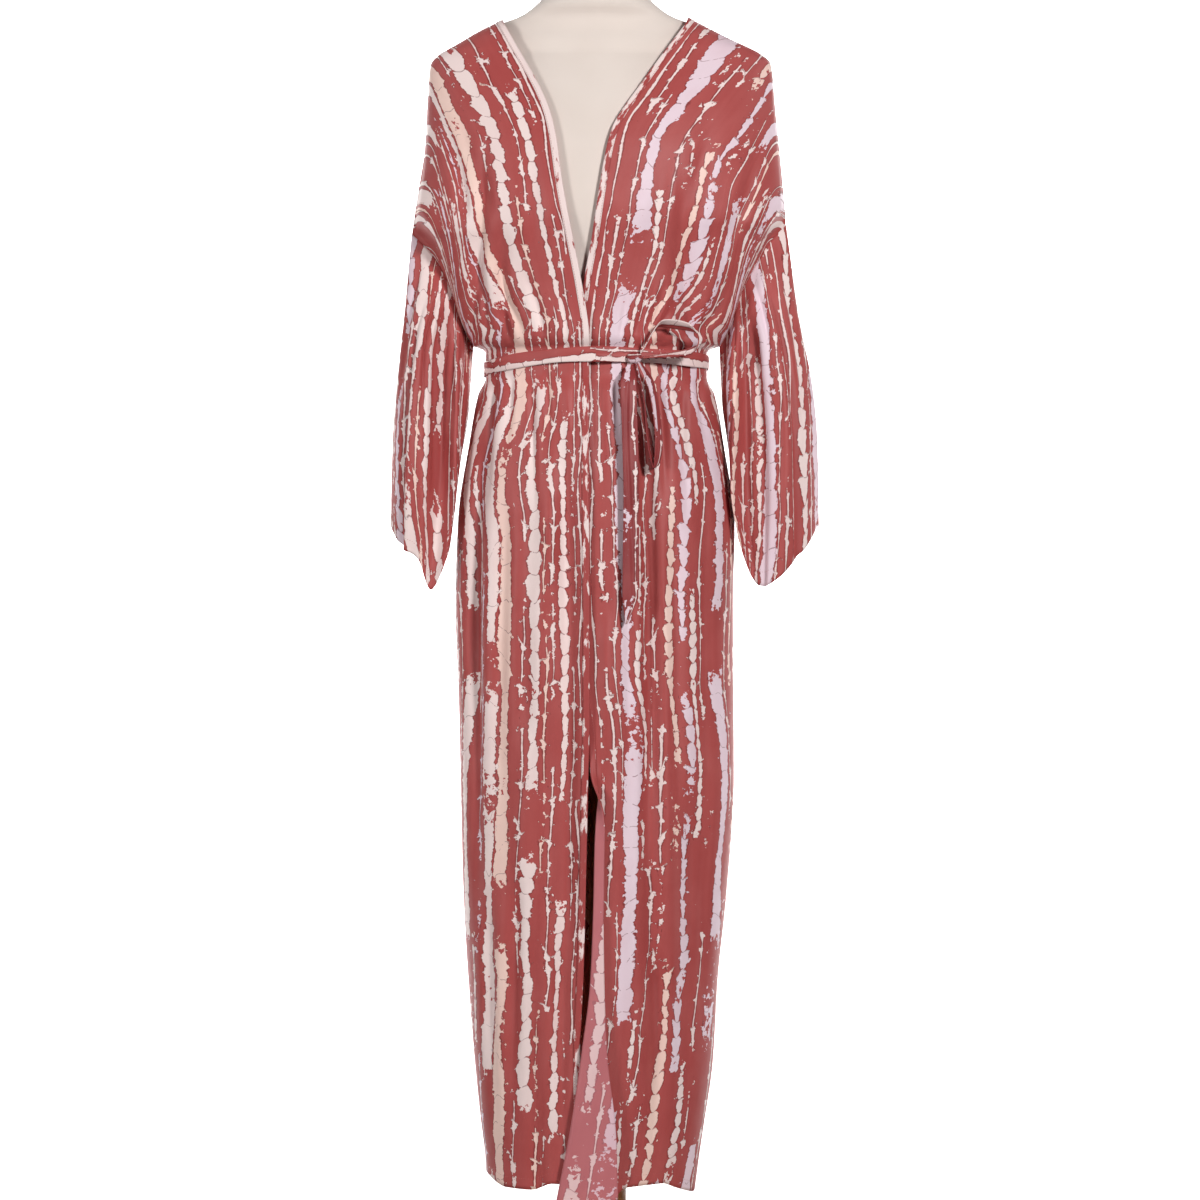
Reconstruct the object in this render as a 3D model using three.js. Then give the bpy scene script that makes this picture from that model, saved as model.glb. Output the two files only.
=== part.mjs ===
// A long open robe with wide dropped sleeves and a tie belt, worn on a limbless dress form with a stand.
// Millimetres, +Z up, front facing -Y, origin under the middle of the stand's base.
// Every cloth piece is a grid of points on the middle of its wall, worked out from the tables below.
// A table's x is a distance from the robe's middle plane, counted towards the piece's own side.
import * as THREE from "three";

// Cloth
const WALL = 1.4;
const BAND_WALL = 1.0;
const BAND_WIDTH = 8;
const SEAM_GAP = 0.3;
const SEAM_PULL = 0.7 * SEAM_GAP;
const LAY_GAP = 0.3;
const BELT_WALL = 1.2;
const BELT_HALF_HEIGHT = 9;
const BELT_LIFT = 0.45;

// Heights that the pieces share
const ARMPIT_Z = 1112;
const BELT_Z = 1095;

// Dress form and stand
const POLE_X = 14;
const POLE_RADIUS = 22;
const BASE_RADIUS = 185;
const BASE_HEIGHT = 26;
const BASE_BEVEL = 8;
const COLLAR_RADIUS = 38;
const COLLAR_HEIGHT = 22;
const TORSO_BOTTOM_Z = 800;
const NECK_TOP_Z = 1580;
const NECK_CAP_HEIGHT = 18;

// Value of a column of a table at a key: a cubic through the rows that is level at each high and low.
function track(table, key, column, at) {
  const last = table.length - 1;
  if (at <= table[0][key]) return table[0][column];
  if (at >= table[last][key]) return table[last][column];
  let i = 0;
  while (at > table[i + 1][key]) i++;
  const slopeOf = (k) =>
    (table[k + 1][column] - table[k][column]) / (table[k + 1][key] - table[k][key]);
  const tangent = (k) => {
    if (k === 0) return slopeOf(0);
    if (k === last) return slopeOf(last - 1);
    const before = slopeOf(k - 1);
    const after = slopeOf(k);
    return before * after <= 0 ? 0 : (2 * before * after) / (before + after);
  };
  const width = table[i + 1][key] - table[i][key];
  const t = (at - table[i][key]) / width;
  return (
    table[i][column] * (1 + 2 * t) * (1 - t) ** 2 +
    width * tangent(i) * t * (1 - t) ** 2 +
    table[i + 1][column] * t * t * (3 - 2 * t) +
    width * tangent(i + 1) * t * t * (t - 1)
  );
}

const mix = (a, b, t) => a + (b - a) * t;
const bell = (x) => Math.exp(-x * x);

// Shoulder seam, from the neck point over the shoulder tip and down the dropped shoulder.
const SHOULDER = {
  right: [
    { x: 110.7, y: 5, z: 1499 },
    { x: 138, y: 2.5, z: 1486.4 },
    { x: 165, y: 1, z: 1471 },
    { x: 188, y: 0, z: 1457.5 },
    { x: 197, y: 0, z: 1445 },
    { x: 200, y: 0, z: 1405 },
    { x: 203, y: 0, z: 1350 },
    { x: 211, y: 0, z: 1297 },
    { x: 219, y: 0, z: 1245 },
  ],
  left: [
    { x: 109.5, y: 5, z: 1502 },
    { x: 137, y: 2.5, z: 1488 },
    { x: 166, y: 1, z: 1474 },
    { x: 195, y: 0, z: 1460 },
    { x: 208, y: 0, z: 1447 },
    { x: 213, y: 0, z: 1395 },
    { x: 219, y: 0, z: 1335 },
    { x: 223, y: 0, z: 1293 },
    { x: 226, y: 0, z: 1256 },
  ],
};

// Outline of the body of the robe below the dropped shoulder: armhole seam, waist, skirt.
const OUTLINE = {
  right: [
    { z: 100, x: 129 },
    { z: 143, x: 131 },
    { z: 203, x: 138 },
    { z: 310, x: 148 },
    { z: 477, x: 158 },
    { z: 691, x: 163 },
    { z: 810, x: 167 },
    { z: 905, x: 164 },
    { z: 1000, x: 150 },
    { z: 1054, x: 140 },
    { z: 1074, x: 131 },
    { z: 1106, x: 131 },
    { z: 1112, x: 146 },
    { z: 1131, x: 157 },
    { z: 1177, x: 172 },
    { z: 1204, x: 184 },
    { z: 1230, x: 203 },
    { z: 1245, x: 219 },
  ],
  left: [
    { z: 100, x: 116 },
    { z: 138, x: 121 },
    { z: 179, x: 127 },
    { z: 262, x: 139 },
    { z: 363, x: 145 },
    { z: 459, x: 155 },
    { z: 600, x: 164 },
    { z: 810, x: 163 },
    { z: 893, x: 165 },
    { z: 1000, x: 151 },
    { z: 1054, x: 141 },
    { z: 1074, x: 132 },
    { z: 1106, x: 132 },
    { z: 1112, x: 147 },
    { z: 1131, x: 158 },
    { z: 1177, x: 174 },
    { z: 1204, x: 188 },
    { z: 1238, x: 209 },
    { z: 1256, x: 226 },
  ],
};

// The same outline carried up the dropped shoulder to the neck point.
const SILHOUETTE = Object.fromEntries(
  Object.keys(OUTLINE).map((side) => [
    side,
    [...OUTLINE[side], ...SHOULDER[side].slice(0, -1).reverse()],
  ]),
);

// How far the middle of the front and of the back stand from the side seams.
const DEPTH = [
  { z: 126, front: 97, back: 98 },
  { z: 400, front: 104, back: 106 },
  { z: 600, front: 109, back: 112 },
  { z: 780, front: 113, back: 117 },
  { z: 900, front: 112, back: 114 },
  { z: 1000, front: 106, back: 104 },
  { z: 1054, front: 98, back: 92 },
  { z: 1074, front: 90, back: 82 },
  { z: 1106, front: 90, back: 82 },
  { z: 1112, front: 99, back: 92 },
  { z: 1150, front: 100, back: 92 },
  { z: 1200, front: 105, back: 92 },
  { z: 1270, front: 117, back: 98 },
  { z: 1330, front: 113, back: 101 },
  { z: 1380, front: 101, back: 97 },
  { z: 1420, front: 83, back: 88 },
  { z: 1445, front: 70, back: 74 },
  { z: 1457, front: 65, back: 68 },
  { z: 1471, front: 63, back: 66 },
  { z: 1498, front: 64, back: 66 },
];
const ARMHOLE_BULGE = 24;

// Front edges. x is the fold or stitching line of the edge strip, strip its width, turn how far it is
// turned back in degrees, rise how far the edge stands over the other front.
const EDGE = {
  right: [
    { z: 115, x: 24, strip: 8, turn: 0, rise: 0 },
    { z: 284, x: 26, strip: 8, turn: 0, rise: 0 },
    { z: 381, x: 22, strip: 8, turn: 0, rise: 0 },
    { z: 588, x: 17, strip: 8, turn: 0, rise: 2.5 },
    { z: 680, x: 15, strip: 8, turn: 0, rise: 4.4 },
    { z: 1000, x: 16, strip: 8, turn: 0, rise: 4.4 },
    { z: 1112, x: 15.5, strip: 8, turn: 0, rise: 4.4 },
    { z: 1175, x: 23.5, strip: 8, turn: 0, rise: 4 },
    { z: 1204, x: 29, strip: 8, turn: 0, rise: 3 },
    { z: 1286, x: 45, strip: 8, turn: 0, rise: 0 },
    { z: 1369, x: 58, strip: 8, turn: 0, rise: 0 },
    { z: 1499, x: 118.7, strip: 8, turn: 0, rise: 0 },
  ],
  left: [
    { z: 108, x: -42, strip: 76, turn: 180, rise: 6.5 },
    { z: 200, x: -25, strip: 56, turn: 180, rise: 6.5 },
    { z: 284, x: -13, strip: 35, turn: 180, rise: 6.5 },
    { z: 370, x: -3, strip: 22, turn: 180, rise: 4.5 },
    { z: 450, x: 0, strip: 18, turn: 180, rise: 2 },
    { z: 525, x: 1, strip: 16, turn: 178, rise: 1 },
    { z: 558, x: 2.5, strip: 15, turn: 140, rise: 0 },
    { z: 585, x: 5, strip: 14, turn: 80, rise: -0.5 },
    { z: 612, x: 6.5, strip: 14, turn: 22, rise: -1.6 },
    { z: 650, x: 5.5, strip: 14, turn: 0, rise: -1.6 },
    { z: 720, x: -3, strip: 14, turn: 0, rise: -1.8 },
    { z: 1000, x: -8, strip: 14, turn: 0, rise: -1.8 },
    { z: 1112, x: -8, strip: 14, turn: 0, rise: -1.6 },
    { z: 1179, x: -0.5, strip: 14, turn: 0, rise: -1 },
    { z: 1232, x: 9, strip: 14, turn: 0, rise: 0 },
    { z: 1298, x: 19, strip: 14, turn: 0, rise: 0 },
    { z: 1357, x: 31, strip: 14, turn: 0, rise: 0 },
    { z: 1417, x: 66, strip: 14, turn: 0, rise: 0 },
    { z: 1502, x: 123.5, strip: 14, turn: 0, rise: 0 },
  ],
};
const RISE_REACH = 42;
const TURN_RADIUS = 3;

// Height of the hem across each piece, by distance from the middle towards its own side.
const HEM = {
  right: [
    { x: 0, z: 128 },
    { x: 50, z: 130 },
    { x: 76, z: 121 },
    { x: 106, z: 121 },
    { x: 131, z: 133 },
  ],
  left: [
    { x: -46, z: 110 },
    { x: 20, z: 112 },
    { x: 34, z: 126 },
    { x: 76, z: 128 },
    { x: 94, z: 121 },
    { x: 117, z: 110 },
  ],
};

// Troughs that run down the cloth. deep is how far the trough goes in, wide its half width.
const TROUGHS = {
  right: [
    [
      { z: 400, x: 138, wide: 8, deep: 0 },
      { z: 500, x: 140, wide: 8, deep: 4 },
      { z: 667, x: 143, wide: 9, deep: 12 },
      { z: 774, x: 146, wide: 10, deep: 20 },
      { z: 900, x: 142, wide: 10, deep: 14 },
      { z: 1050, x: 126, wide: 8, deep: 3 },
    ],
    [
      { z: 240, x: 31, wide: 11, deep: 0 },
      { z: 380, x: 35, wide: 12, deep: 8 },
      { z: 560, x: 34, wide: 13, deep: 14 },
      { z: 780, x: 33, wide: 13, deep: 14 },
      { z: 953, x: 36, wide: 12, deep: 7 },
      { z: 1064, x: 42, wide: 9, deep: 0 },
    ],
    [
      { z: 110, x: 68, wide: 9, deep: 5 },
      { z: 320, x: 74, wide: 10, deep: 3 },
      { z: 520, x: 82, wide: 12, deep: 3 },
      { z: 1000, x: 84, wide: 12, deep: 3 },
      { z: 1068, x: 84, wide: 8, deep: 0 },
    ],
    [
      { z: 1110, x: 149, wide: 7, deep: 3 },
      { z: 1140, x: 146, wide: 8, deep: 9 },
      { z: 1200, x: 140, wide: 8, deep: 11 },
      { z: 1286, x: 133, wide: 9, deep: 7 },
      { z: 1350, x: 130, wide: 9, deep: 0 },
    ],
    [
      { z: 1106, x: 110, wide: 9, deep: 0 },
      { z: 1118, x: 110, wide: 9, deep: 8 },
      { z: 1180, x: 110, wide: 9, deep: 7 },
      { z: 1250, x: 110, wide: 9, deep: 0 },
    ],
  ],
  left: [
    [
      { z: 330, x: 62, wide: 10, deep: 0 },
      { z: 453, x: 62, wide: 11, deep: 5 },
      { z: 690, x: 65, wide: 12, deep: 14 },
      { z: 820, x: 63, wide: 11, deep: 15 },
      { z: 960, x: 58, wide: 9, deep: 9 },
      { z: 1068, x: 60, wide: 9, deep: 0 },
    ],
    [
      { z: 240, x: 122, wide: 9, deep: 0 },
      { z: 480, x: 125, wide: 10, deep: 6 },
      { z: 880, x: 126, wide: 10, deep: 6 },
      { z: 1050, x: 112, wide: 8, deep: 0 },
    ],
    [
      { z: 1108, x: 108, wide: 12, deep: 4 },
      { z: 1125, x: 106, wide: 14, deep: 15 },
      { z: 1202, x: 101, wide: 12, deep: 11 },
      { z: 1321, x: 100, wide: 8, deep: 0 },
    ],
  ],
  back: [
    [
      { z: 200, x: -112, wide: 12, deep: 3 },
      { z: 700, x: -118, wide: 13, deep: 13 },
      { z: 980, x: -108, wide: 11, deep: 7 },
      { z: 1066, x: -98, wide: 9, deep: 0 },
    ],
    [
      { z: 120, x: -40, wide: 13, deep: 9 },
      { z: 560, x: -46, wide: 14, deep: 12 },
      { z: 940, x: -44, wide: 11, deep: 6 },
      { z: 1068, x: -40, wide: 9, deep: 0 },
    ],
    [
      { z: 160, x: 24, wide: 14, deep: 4 },
      { z: 640, x: 26, wide: 14, deep: 11 },
      { z: 900, x: 20, wide: 12, deep: 8 },
      { z: 1068, x: 16, wide: 9, deep: 0 },
    ],
    [
      { z: 120, x: 86, wide: 12, deep: 8 },
      { z: 600, x: 92, wide: 13, deep: 13 },
      { z: 960, x: 84, wide: 11, deep: 6 },
      { z: 1066, x: 78, wide: 9, deep: 0 },
    ],
    [
      { z: 1112, x: -70, wide: 12, deep: 7 },
      { z: 1200, x: -92, wide: 14, deep: 9 },
      { z: 1360, x: -128, wide: 14, deep: 0 },
    ],
    [
      { z: 1112, x: 64, wide: 12, deep: 7 },
      { z: 1210, x: 88, wide: 14, deep: 10 },
      { z: 1370, x: 130, wide: 14, deep: 0 },
    ],
  ],
};

// Dress form sections. round is the power of the section's curve, 2 for an ellipse.
const FORM = [
  { z: TORSO_BOTTOM_Z, half: 136, front: 80, back: 84, round: 2 },
  { z: 812, half: 146, front: 86, back: 90, round: 2 },
  { z: 850, half: 150, front: 90, back: 94, round: 2 },
  { z: 900, half: 150, front: 92, back: 96, round: 2 },
  { z: 1000, half: 138, front: 92, back: 90, round: 2 },
  { z: 1050, half: 124, front: 86, back: 80, round: 2 },
  { z: 1100, half: 116, front: 82, back: 74, round: 2 },
  { z: 1150, half: 124, front: 88, back: 78, round: 2 },
  { z: 1210, half: 142, front: 98, back: 84, round: 2 },
  { z: 1270, half: 160, front: 110, back: 90, round: 2 },
  { z: 1330, half: 172, front: 106, back: 93, round: 2 },
  { z: 1380, half: 182, front: 94, back: 88, round: 2 },
  { z: 1420, half: 188, front: 76, back: 78, round: 1.9 },
  { z: 1446, half: 189, front: 62, back: 64, round: 1.7 },
  { z: 1456.4, half: 186.5, front: 57, back: 58, round: 1.5 },
  { z: 1469.9, half: 164.4, front: 56, back: 57, round: 1.5 },
  { z: 1484.4, half: 137.4, front: 50, back: 57, round: 1.5 },
  { z: 1496.8, half: 110.1, front: 48, back: 58, round: 1.5 },
  { z: 1503.6, half: 91, front: 51, back: 58, round: 1.7 },
  { z: 1511, half: 79, front: 56, back: 58, round: 1.9 },
  { z: 1524, half: 65, front: 56, back: 57, round: 2 },
  { z: 1548, half: 56, front: 54, back: 54, round: 2 },
  { z: NECK_TOP_Z, half: 52, front: 52, back: 52, round: 2 },
];
const FORM_CLEARANCE = 2.2;
const FORM_END_REACH = 12;

// A trough runs out above its first row, fades towards the side seams, and moves the cloth mostly
// straight in: sideways by this share of what its normal asks.
const TROUGH_RUNOUT = 40;
const TROUGH_FADE = 2.2;
const SIDEWAYS_SHARE = 0.6;

// Rows of the cloth: how far down each one is between the shoulder seam and the armpit, then heights.
const UPPER_ROWS = [0, 0.008, 0.03, 0.075, 0.14, 0.22, 0.32, 0.44, 0.57, 0.7, 0.84, 1];
const LOWER_ROWS = [
  1106, 1095, 1084, 1074, 1056, 1028, 985, 935, 880, 820, 760, 700, 650, 612, 585, 558, 525, 480, 425,
  370, 312, 256, 204, 160, 126,
];
const ARMPIT_ROW = UPPER_ROWS.length - 1;
const HEM_ROW = ARMPIT_ROW + LOWER_ROWS.length;
const FRONT_COLUMNS = 16;
const TURN_COLUMNS = 3;
const NECK_COLUMNS = 4;
const SHOULDER_COLUMNS = SHOULDER.right.length - 1;

const sideSign = { right: -1, left: 1 };

const heightShare = (side, z) => {
  const top = OUTLINE[side].at(-1).z;
  return Math.min(1, Math.max(0, (z - ARMPIT_Z) / (top - ARMPIT_Z)));
};

// Distance of the armhole seam from the middle plane of the sleeve, front and back alike.
const seamDepth = (side, z) => ARMHOLE_BULGE * Math.sin(Math.PI * heightShare(side, z));

// Half section of the dress form at a place, 0 outside it.
function formDepth(x, z, face) {
  if (z < TORSO_BOTTOM_Z - FORM_END_REACH || z > NECK_TOP_Z) return 0;
  const half = track(FORM, "z", "half", z);
  const power = track(FORM, "z", "round", z);
  if (Math.abs(x) >= half) return 0;
  return track(FORM, "z", face, z) * (1 - Math.abs(x / half) ** power) ** (1 / power);
}

function troughDepth(list, x, z) {
  let sum = 0;
  for (const rows of list) {
    const inside = z > rows[0].z - TROUGH_RUNOUT && z < rows.at(-1).z + 1;
    if (!inside) continue;
    const deep = track(rows, "z", "deep", z);
    sum += deep * bell((x - track(rows, "z", "x", z)) / track(rows, "z", "wide", z));
  }
  return sum;
}

// A point of the robe's body: an ellipse through the side seams at each height, pressed in by the
// troughs, moved out by the rise, and kept clear of the dress form. x counts towards the given side.
function bodyPoint(side, face, x, z, out = 0) {
  const sign = sideSign[side];
  const half = track(SILHOUETTE[side], "z", "x", z);
  const start = seamDepth(side, z);
  const reach = track(DEPTH, "z", face, z) - start;
  const share = Math.min(1, Math.abs(x) / half);
  const arc = Math.sqrt(1 - share * share);
  const normal = new THREE.Vector2(x / (half * half), arc / reach).normalize();
  const pressed =
    face === "back"
      ? troughDepth(TROUGHS.back, sign * x, z)
      : troughDepth(TROUGHS.right, -sign * x, z) + troughDepth(TROUGHS.left, sign * x, z);
  const move = out - pressed * Math.min(1, arc * TROUGH_FADE);
  let depth = start + reach * arc + move * normal.y;
  const placedX = x + move * normal.x * SIDEWAYS_SHARE;
  const body = formDepth(placedX, z, face);
  if (body > 0) depth = Math.max(depth, body + FORM_CLEARANCE + Math.max(0, out));
  return new THREE.Vector3(sign * placedX, face === "front" ? -depth : depth, z);
}

// Place on the shoulder seam at a share of its columns.
function seamPoint(side, share) {
  const at = Math.min(share * SHOULDER_COLUMNS, SHOULDER_COLUMNS - 1e-9);
  const row = Math.floor(at);
  const a = SHOULDER[side][row];
  const b = SHOULDER[side][row + 1];
  const t = at - row;
  return { x: mix(a.x, b.x, t), y: mix(a.y, b.y, t), z: mix(a.z, b.z, t) };
}

// Share of the way down from shoulder seam to armpit of a row, even along the armhole and closer
// together over the shoulder.
const rowShare = (row, across) => mix(UPPER_ROWS[row], row / ARMPIT_ROW, across * across);

const edgeAt = (side, z) => ({
  x: track(EDGE[side], "z", "x", z),
  strip: track(EDGE[side], "z", "strip", z),
  turn: THREE.MathUtils.degToRad(track(EDGE[side], "z", "turn", z)),
  rise: track(EDGE[side], "z", "rise", z),
});

const outlineX = (side, z) => track(OUTLINE[side], "z", "x", z);

// Front panel at a row, for a share across from the strip's line (0) to the side (1).
function frontPlace(side, row, across) {
  const waistEdge = edgeAt(side, ARMPIT_Z).x;
  const angle = across * 0.5 * Math.PI;
  if (row > ARMPIT_ROW) {
    const level = LOWER_ROWS[row - ARMPIT_ROW - 1];
    const edge = edgeAt(side, level).x;
    const x = mix(edge, outlineX(side, level), Math.sin(angle));
    const down = (ARMPIT_Z - level) / (ARMPIT_Z - LOWER_ROWS.at(-1));
    const hem = track(HEM[side], "x", "z", x);
    return { x, z: mix(ARMPIT_Z, hem, down) };
  }
  const neck = SHOULDER[side][0];
  const column = 1 / SHOULDER_COLUMNS;
  const first = ((EDGE[side].at(-1).x - neck.x) / (SHOULDER[side][1].x - neck.x)) * column;
  const along = across < column ? mix(first, column, across / column) : across;
  const top = seamPoint(side, along);
  const share = rowShare(row, across);
  const z = mix(top.z, ARMPIT_Z, share);
  const waistX = mix(waistEdge, outlineX(side, ARMPIT_Z), Math.sin(angle));
  const edgeShare = rowShare(row, 0);
  const edgeZ = mix(neck.z, ARMPIT_Z, edgeShare);
  const edgeBow = edgeAt(side, edgeZ).x - mix(EDGE[side].at(-1).x, waistEdge, edgeShare);
  const sideShare = rowShare(row, 1);
  const tip = SHOULDER[side].at(-1);
  const armZ = mix(tip.z, ARMPIT_Z, sideShare);
  const armBow = outlineX(side, armZ) - mix(tip.x, outlineX(side, ARMPIT_Z), sideShare);
  const x = mix(top.x, waistX, share) + edgeBow * (1 - across) ** 2 + armBow * across ** 3;
  return { x, z, y: row === 0 ? top.y : undefined };
}

function riseAt(side, x, edge) {
  return edge.rise * bell(Math.max(0, x - edge.x) / RISE_REACH);
}

function frontPoint(side, row, across) {
  const place = frontPlace(side, row, across);
  if (place.y !== undefined) {
    return new THREE.Vector3(sideSign[side] * place.x, place.y, place.z);
  }
  const edge = edgeAt(side, place.z);
  if (across === 1) {
    return new THREE.Vector3(sideSign[side] * place.x, -seamDepth(side, place.z), place.z);
  }
  return bodyPoint(side, "front", place.x, place.z, riseAt(side, place.x, edge));
}

// Edge strip of a front: flat, or turned back over the front about its fold line.
// beyond is the distance from the fold line towards the free edge.
function stripPoint(side, row, beyond) {
  const line = frontPlace(side, row, 0);
  const edge = edgeAt(side, line.z);
  if (row === 0) {
    const neck = SHOULDER[side][0];
    const next = SHOULDER[side][1];
    const t = (line.x - beyond - neck.x) / (next.x - neck.x);
    const onSeam = [mix(neck.x, next.x, t), mix(neck.y, next.y, t), mix(neck.z, next.z, t)];
    return new THREE.Vector3(sideSign[side] * onSeam[0], onSeam[1], onSeam[2]);
  }
  const radius = turnRadius(edge.strip);
  const angle = Math.min(edge.turn, beyond / radius);
  const straight = Math.max(0, beyond - radius * edge.turn);
  const x = line.x - radius * Math.sin(angle) - straight * Math.cos(edge.turn);
  const out = radius * (1 - Math.cos(angle)) + straight * Math.sin(edge.turn);
  const z = row > ARMPIT_ROW ? mix(line.z, frontPlaceAt(side, row, x), edge.turn / Math.PI) : line.z;
  return bodyPoint(side, "front", x, z, edge.rise + out);
}

// Height of a front's row at a place across it.
function frontPlaceAt(side, row, x) {
  const level = LOWER_ROWS[row - ARMPIT_ROW - 1];
  const down = (ARMPIT_Z - level) / (ARMPIT_Z - LOWER_ROWS.at(-1));
  return mix(ARMPIT_Z, track(HEM[side], "x", "z", x), down);
}

const turnRadius = (strip) => Math.min(TURN_RADIUS, Math.max(0.5, (strip - BAND_WIDTH - 1) / Math.PI));

function frontGrid(side) {
  const grid = [];
  for (let row = 0; row <= HEM_ROW; row++) {
    const strip = edgeAt(side, frontPlace(side, row, 0).z).strip;
    const line = [stripPoint(side, row, strip)];
    if (strip > BAND_WIDTH + 1) {
      line.push(stripPoint(side, row, strip - BAND_WIDTH));
      const arc = Math.PI * turnRadius(strip);
      for (let k = TURN_COLUMNS; k > 0; k--) line.push(stripPoint(side, row, (arc * k) / TURN_COLUMNS));
    }
    for (let k = 0; k <= FRONT_COLUMNS; k++) line.push(frontPoint(side, row, k / FRONT_COLUMNS));
    grid.push(line);
  }
  return grid;
}

// Back panel. Column 0 is the side seam of the wearer's right, the last one that of the left.
const NECK_CURVE = [
  { x: 108, y: 24, z: 1498 },
  { x: 100, y: 43, z: 1494 },
  { x: 62, y: 64, z: 1486 },
  { x: 0, y: 71, z: 1481 },
];

function backPoint(side, row, step) {
  const columns = NECK_COLUMNS + SHOULDER_COLUMNS;
  const across = step / columns;
  const angle = across * 0.5 * Math.PI;
  if (row > ARMPIT_ROW) {
    if (step === columns) return sidePoint(side, row);
    const level = LOWER_ROWS[row - ARMPIT_ROW - 1];
    const down = (ARMPIT_Z - level) / (ARMPIT_Z - LOWER_ROWS.at(-1));
    const z = mix(ARMPIT_Z, HEM[side].at(-1).z, down);
    return bodyPoint(side, "back", outlineX(side, z) * Math.sin(angle), z);
  }
  const onNeck = step < NECK_COLUMNS;
  const top = onNeck ? NECK_CURVE[NECK_COLUMNS - 1 - step] : SHOULDER[side][step - NECK_COLUMNS];
  if (row === 0) return new THREE.Vector3(sideSign[side] * top.x, top.y, top.z);
  const seamShare = Math.max(0, (step - NECK_COLUMNS) / SHOULDER_COLUMNS);
  const share = rowShare(row, seamShare);
  const z = mix(top.z, ARMPIT_Z, share);
  if (step === columns) return new THREE.Vector3(sideSign[side] * outlineX(side, z), seamDepth(side, z), z);
  const tip = SHOULDER[side].at(-1);
  const armShare = rowShare(row, 1);
  const armBow =
    outlineX(side, mix(tip.z, ARMPIT_Z, armShare)) - mix(tip.x, outlineX(side, ARMPIT_Z), armShare);
  const x = mix(top.x, outlineX(side, ARMPIT_Z) * Math.sin(angle), share) + armBow * across ** 4;
  return bodyPoint(side, "back", x, z);
}

// Side seam, shared by front and back.
function sidePoint(side, row) {
  const place = frontPlace(side, row, 1);
  return new THREE.Vector3(sideSign[side] * place.x, 0, place.z);
}

function backGrid() {
  const steps = NECK_COLUMNS + SHOULDER_COLUMNS;
  const grid = [];
  for (let row = 0; row <= HEM_ROW; row++) {
    const line = [];
    for (let step = steps; step > 0; step--) line.push(backPoint("right", row, step));
    const middleRight = backPoint("right", row, 0);
    const middleLeft = backPoint("left", row, 0);
    line.push(middleRight.lerp(middleLeft, 0.5));
    for (let step = 1; step <= steps; step++) line.push(backPoint("left", row, step));
    grid.push(line);
  }
  return grid;
}

// Sleeves: rings below the armhole. Each column is a line down the sleeve, with its place on the ring.
const SLEEVE_LINES = [
  { line: "outer", ring: 0 },
  { line: "ridge", ring: 2.5 },
  { line: "drape", ring: 5 },
  { line: "trough", ring: 7 },
  { line: "inner", ring: 8.7 },
  { line: "under", ring: 11 },
  { line: "backInner", ring: 13.5 },
  { line: "backRidge", ring: 18 },
];
const SLEEVES = {
  left: [
    {
      down: 0.35,
      outer: [243, 0, 1131],
      ridge: [227, -37, 1120],
      drape: [202, -50, 1103],
      trough: [178, -26, 1085],
      inner: [160, -43, 1068],
      under: [150, 0, 1050],
      backInner: [161, 32, 1052],
      backRidge: [206, 41, 1095],
    },
    {
      down: 0.7,
      outer: [260, 0, 1005],
      ridge: [241, -42, 988],
      drape: [210, -54, 962],
      trough: [180, -28, 950],
      inner: [159, -52, 945],
      under: [166, 2, 950],
      backInner: [178, 36, 945],
      backRidge: [221, 43, 968],
    },
    {
      down: 1,
      outer: [263, 0, 898],
      ridge: [243, -36, 866],
      drape: [205, -48, 829],
      trough: [186, -32, 834],
      inner: [168, -46, 880],
      under: [172, 2, 893],
      backInner: [185, 34, 862],
      backRidge: [226, 37, 850],
    },
  ],
  right: [
    {
      down: 0.35,
      outer: [230, 0, 1124],
      ridge: [216, -39, 1113],
      drape: [198, -48, 1098],
      trough: [180, -24, 1080],
      inner: [164, -44, 1064],
      under: [151, 0, 1046],
      backInner: [161, 30, 1050],
      backRidge: [199, 40, 1088],
    },
    {
      down: 0.7,
      outer: [241, 0, 1003],
      ridge: [226, -43, 988],
      drape: [203, -52, 965],
      trough: [183, -32, 950],
      inner: [165, -50, 944],
      under: [166, 2, 948],
      backInner: [176, 36, 944],
      backRidge: [209, 42, 965],
    },
    {
      down: 1,
      outer: [244, 0, 899],
      ridge: [229, -36, 873],
      drape: [209, -46, 857],
      trough: [194, -40, 822],
      inner: [174, -45, 864],
      under: [172, 2, 901],
      backInner: [183, 32, 868],
      backRidge: [213, 36, 860],
    },
  ],
};
const SLEEVE_RINGS = 10;

// Value of the lines of a sleeve ring at a place round it: a cubic that goes round without a start.
function aroundRing(values, at) {
  const size = 2 * ARMPIT_ROW;
  const places = SLEEVE_LINES.map((entry) => entry.ring);
  const count = places.length;
  let i = 0;
  while (i < count - 1 && at >= places[i + 1]) i++;
  const place = (k) => places[((k % count) + count) % count] + size * Math.floor(k / count);
  const value = (k) => values[((k % count) + count) % count];
  const tangent = (k) => (value(k + 1) - value(k - 1)) / (place(k + 1) - place(k - 1));
  const width = place(i + 1) - place(i);
  const t = (at - place(i)) / width;
  return (
    value(i) * (1 + 2 * t) * (1 - t) ** 2 +
    width * tangent(i) * t * (1 - t) ** 2 +
    value(i + 1) * t * t * (3 - 2 * t) +
    width * tangent(i + 1) * t * t * (t - 1)
  );
}

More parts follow.
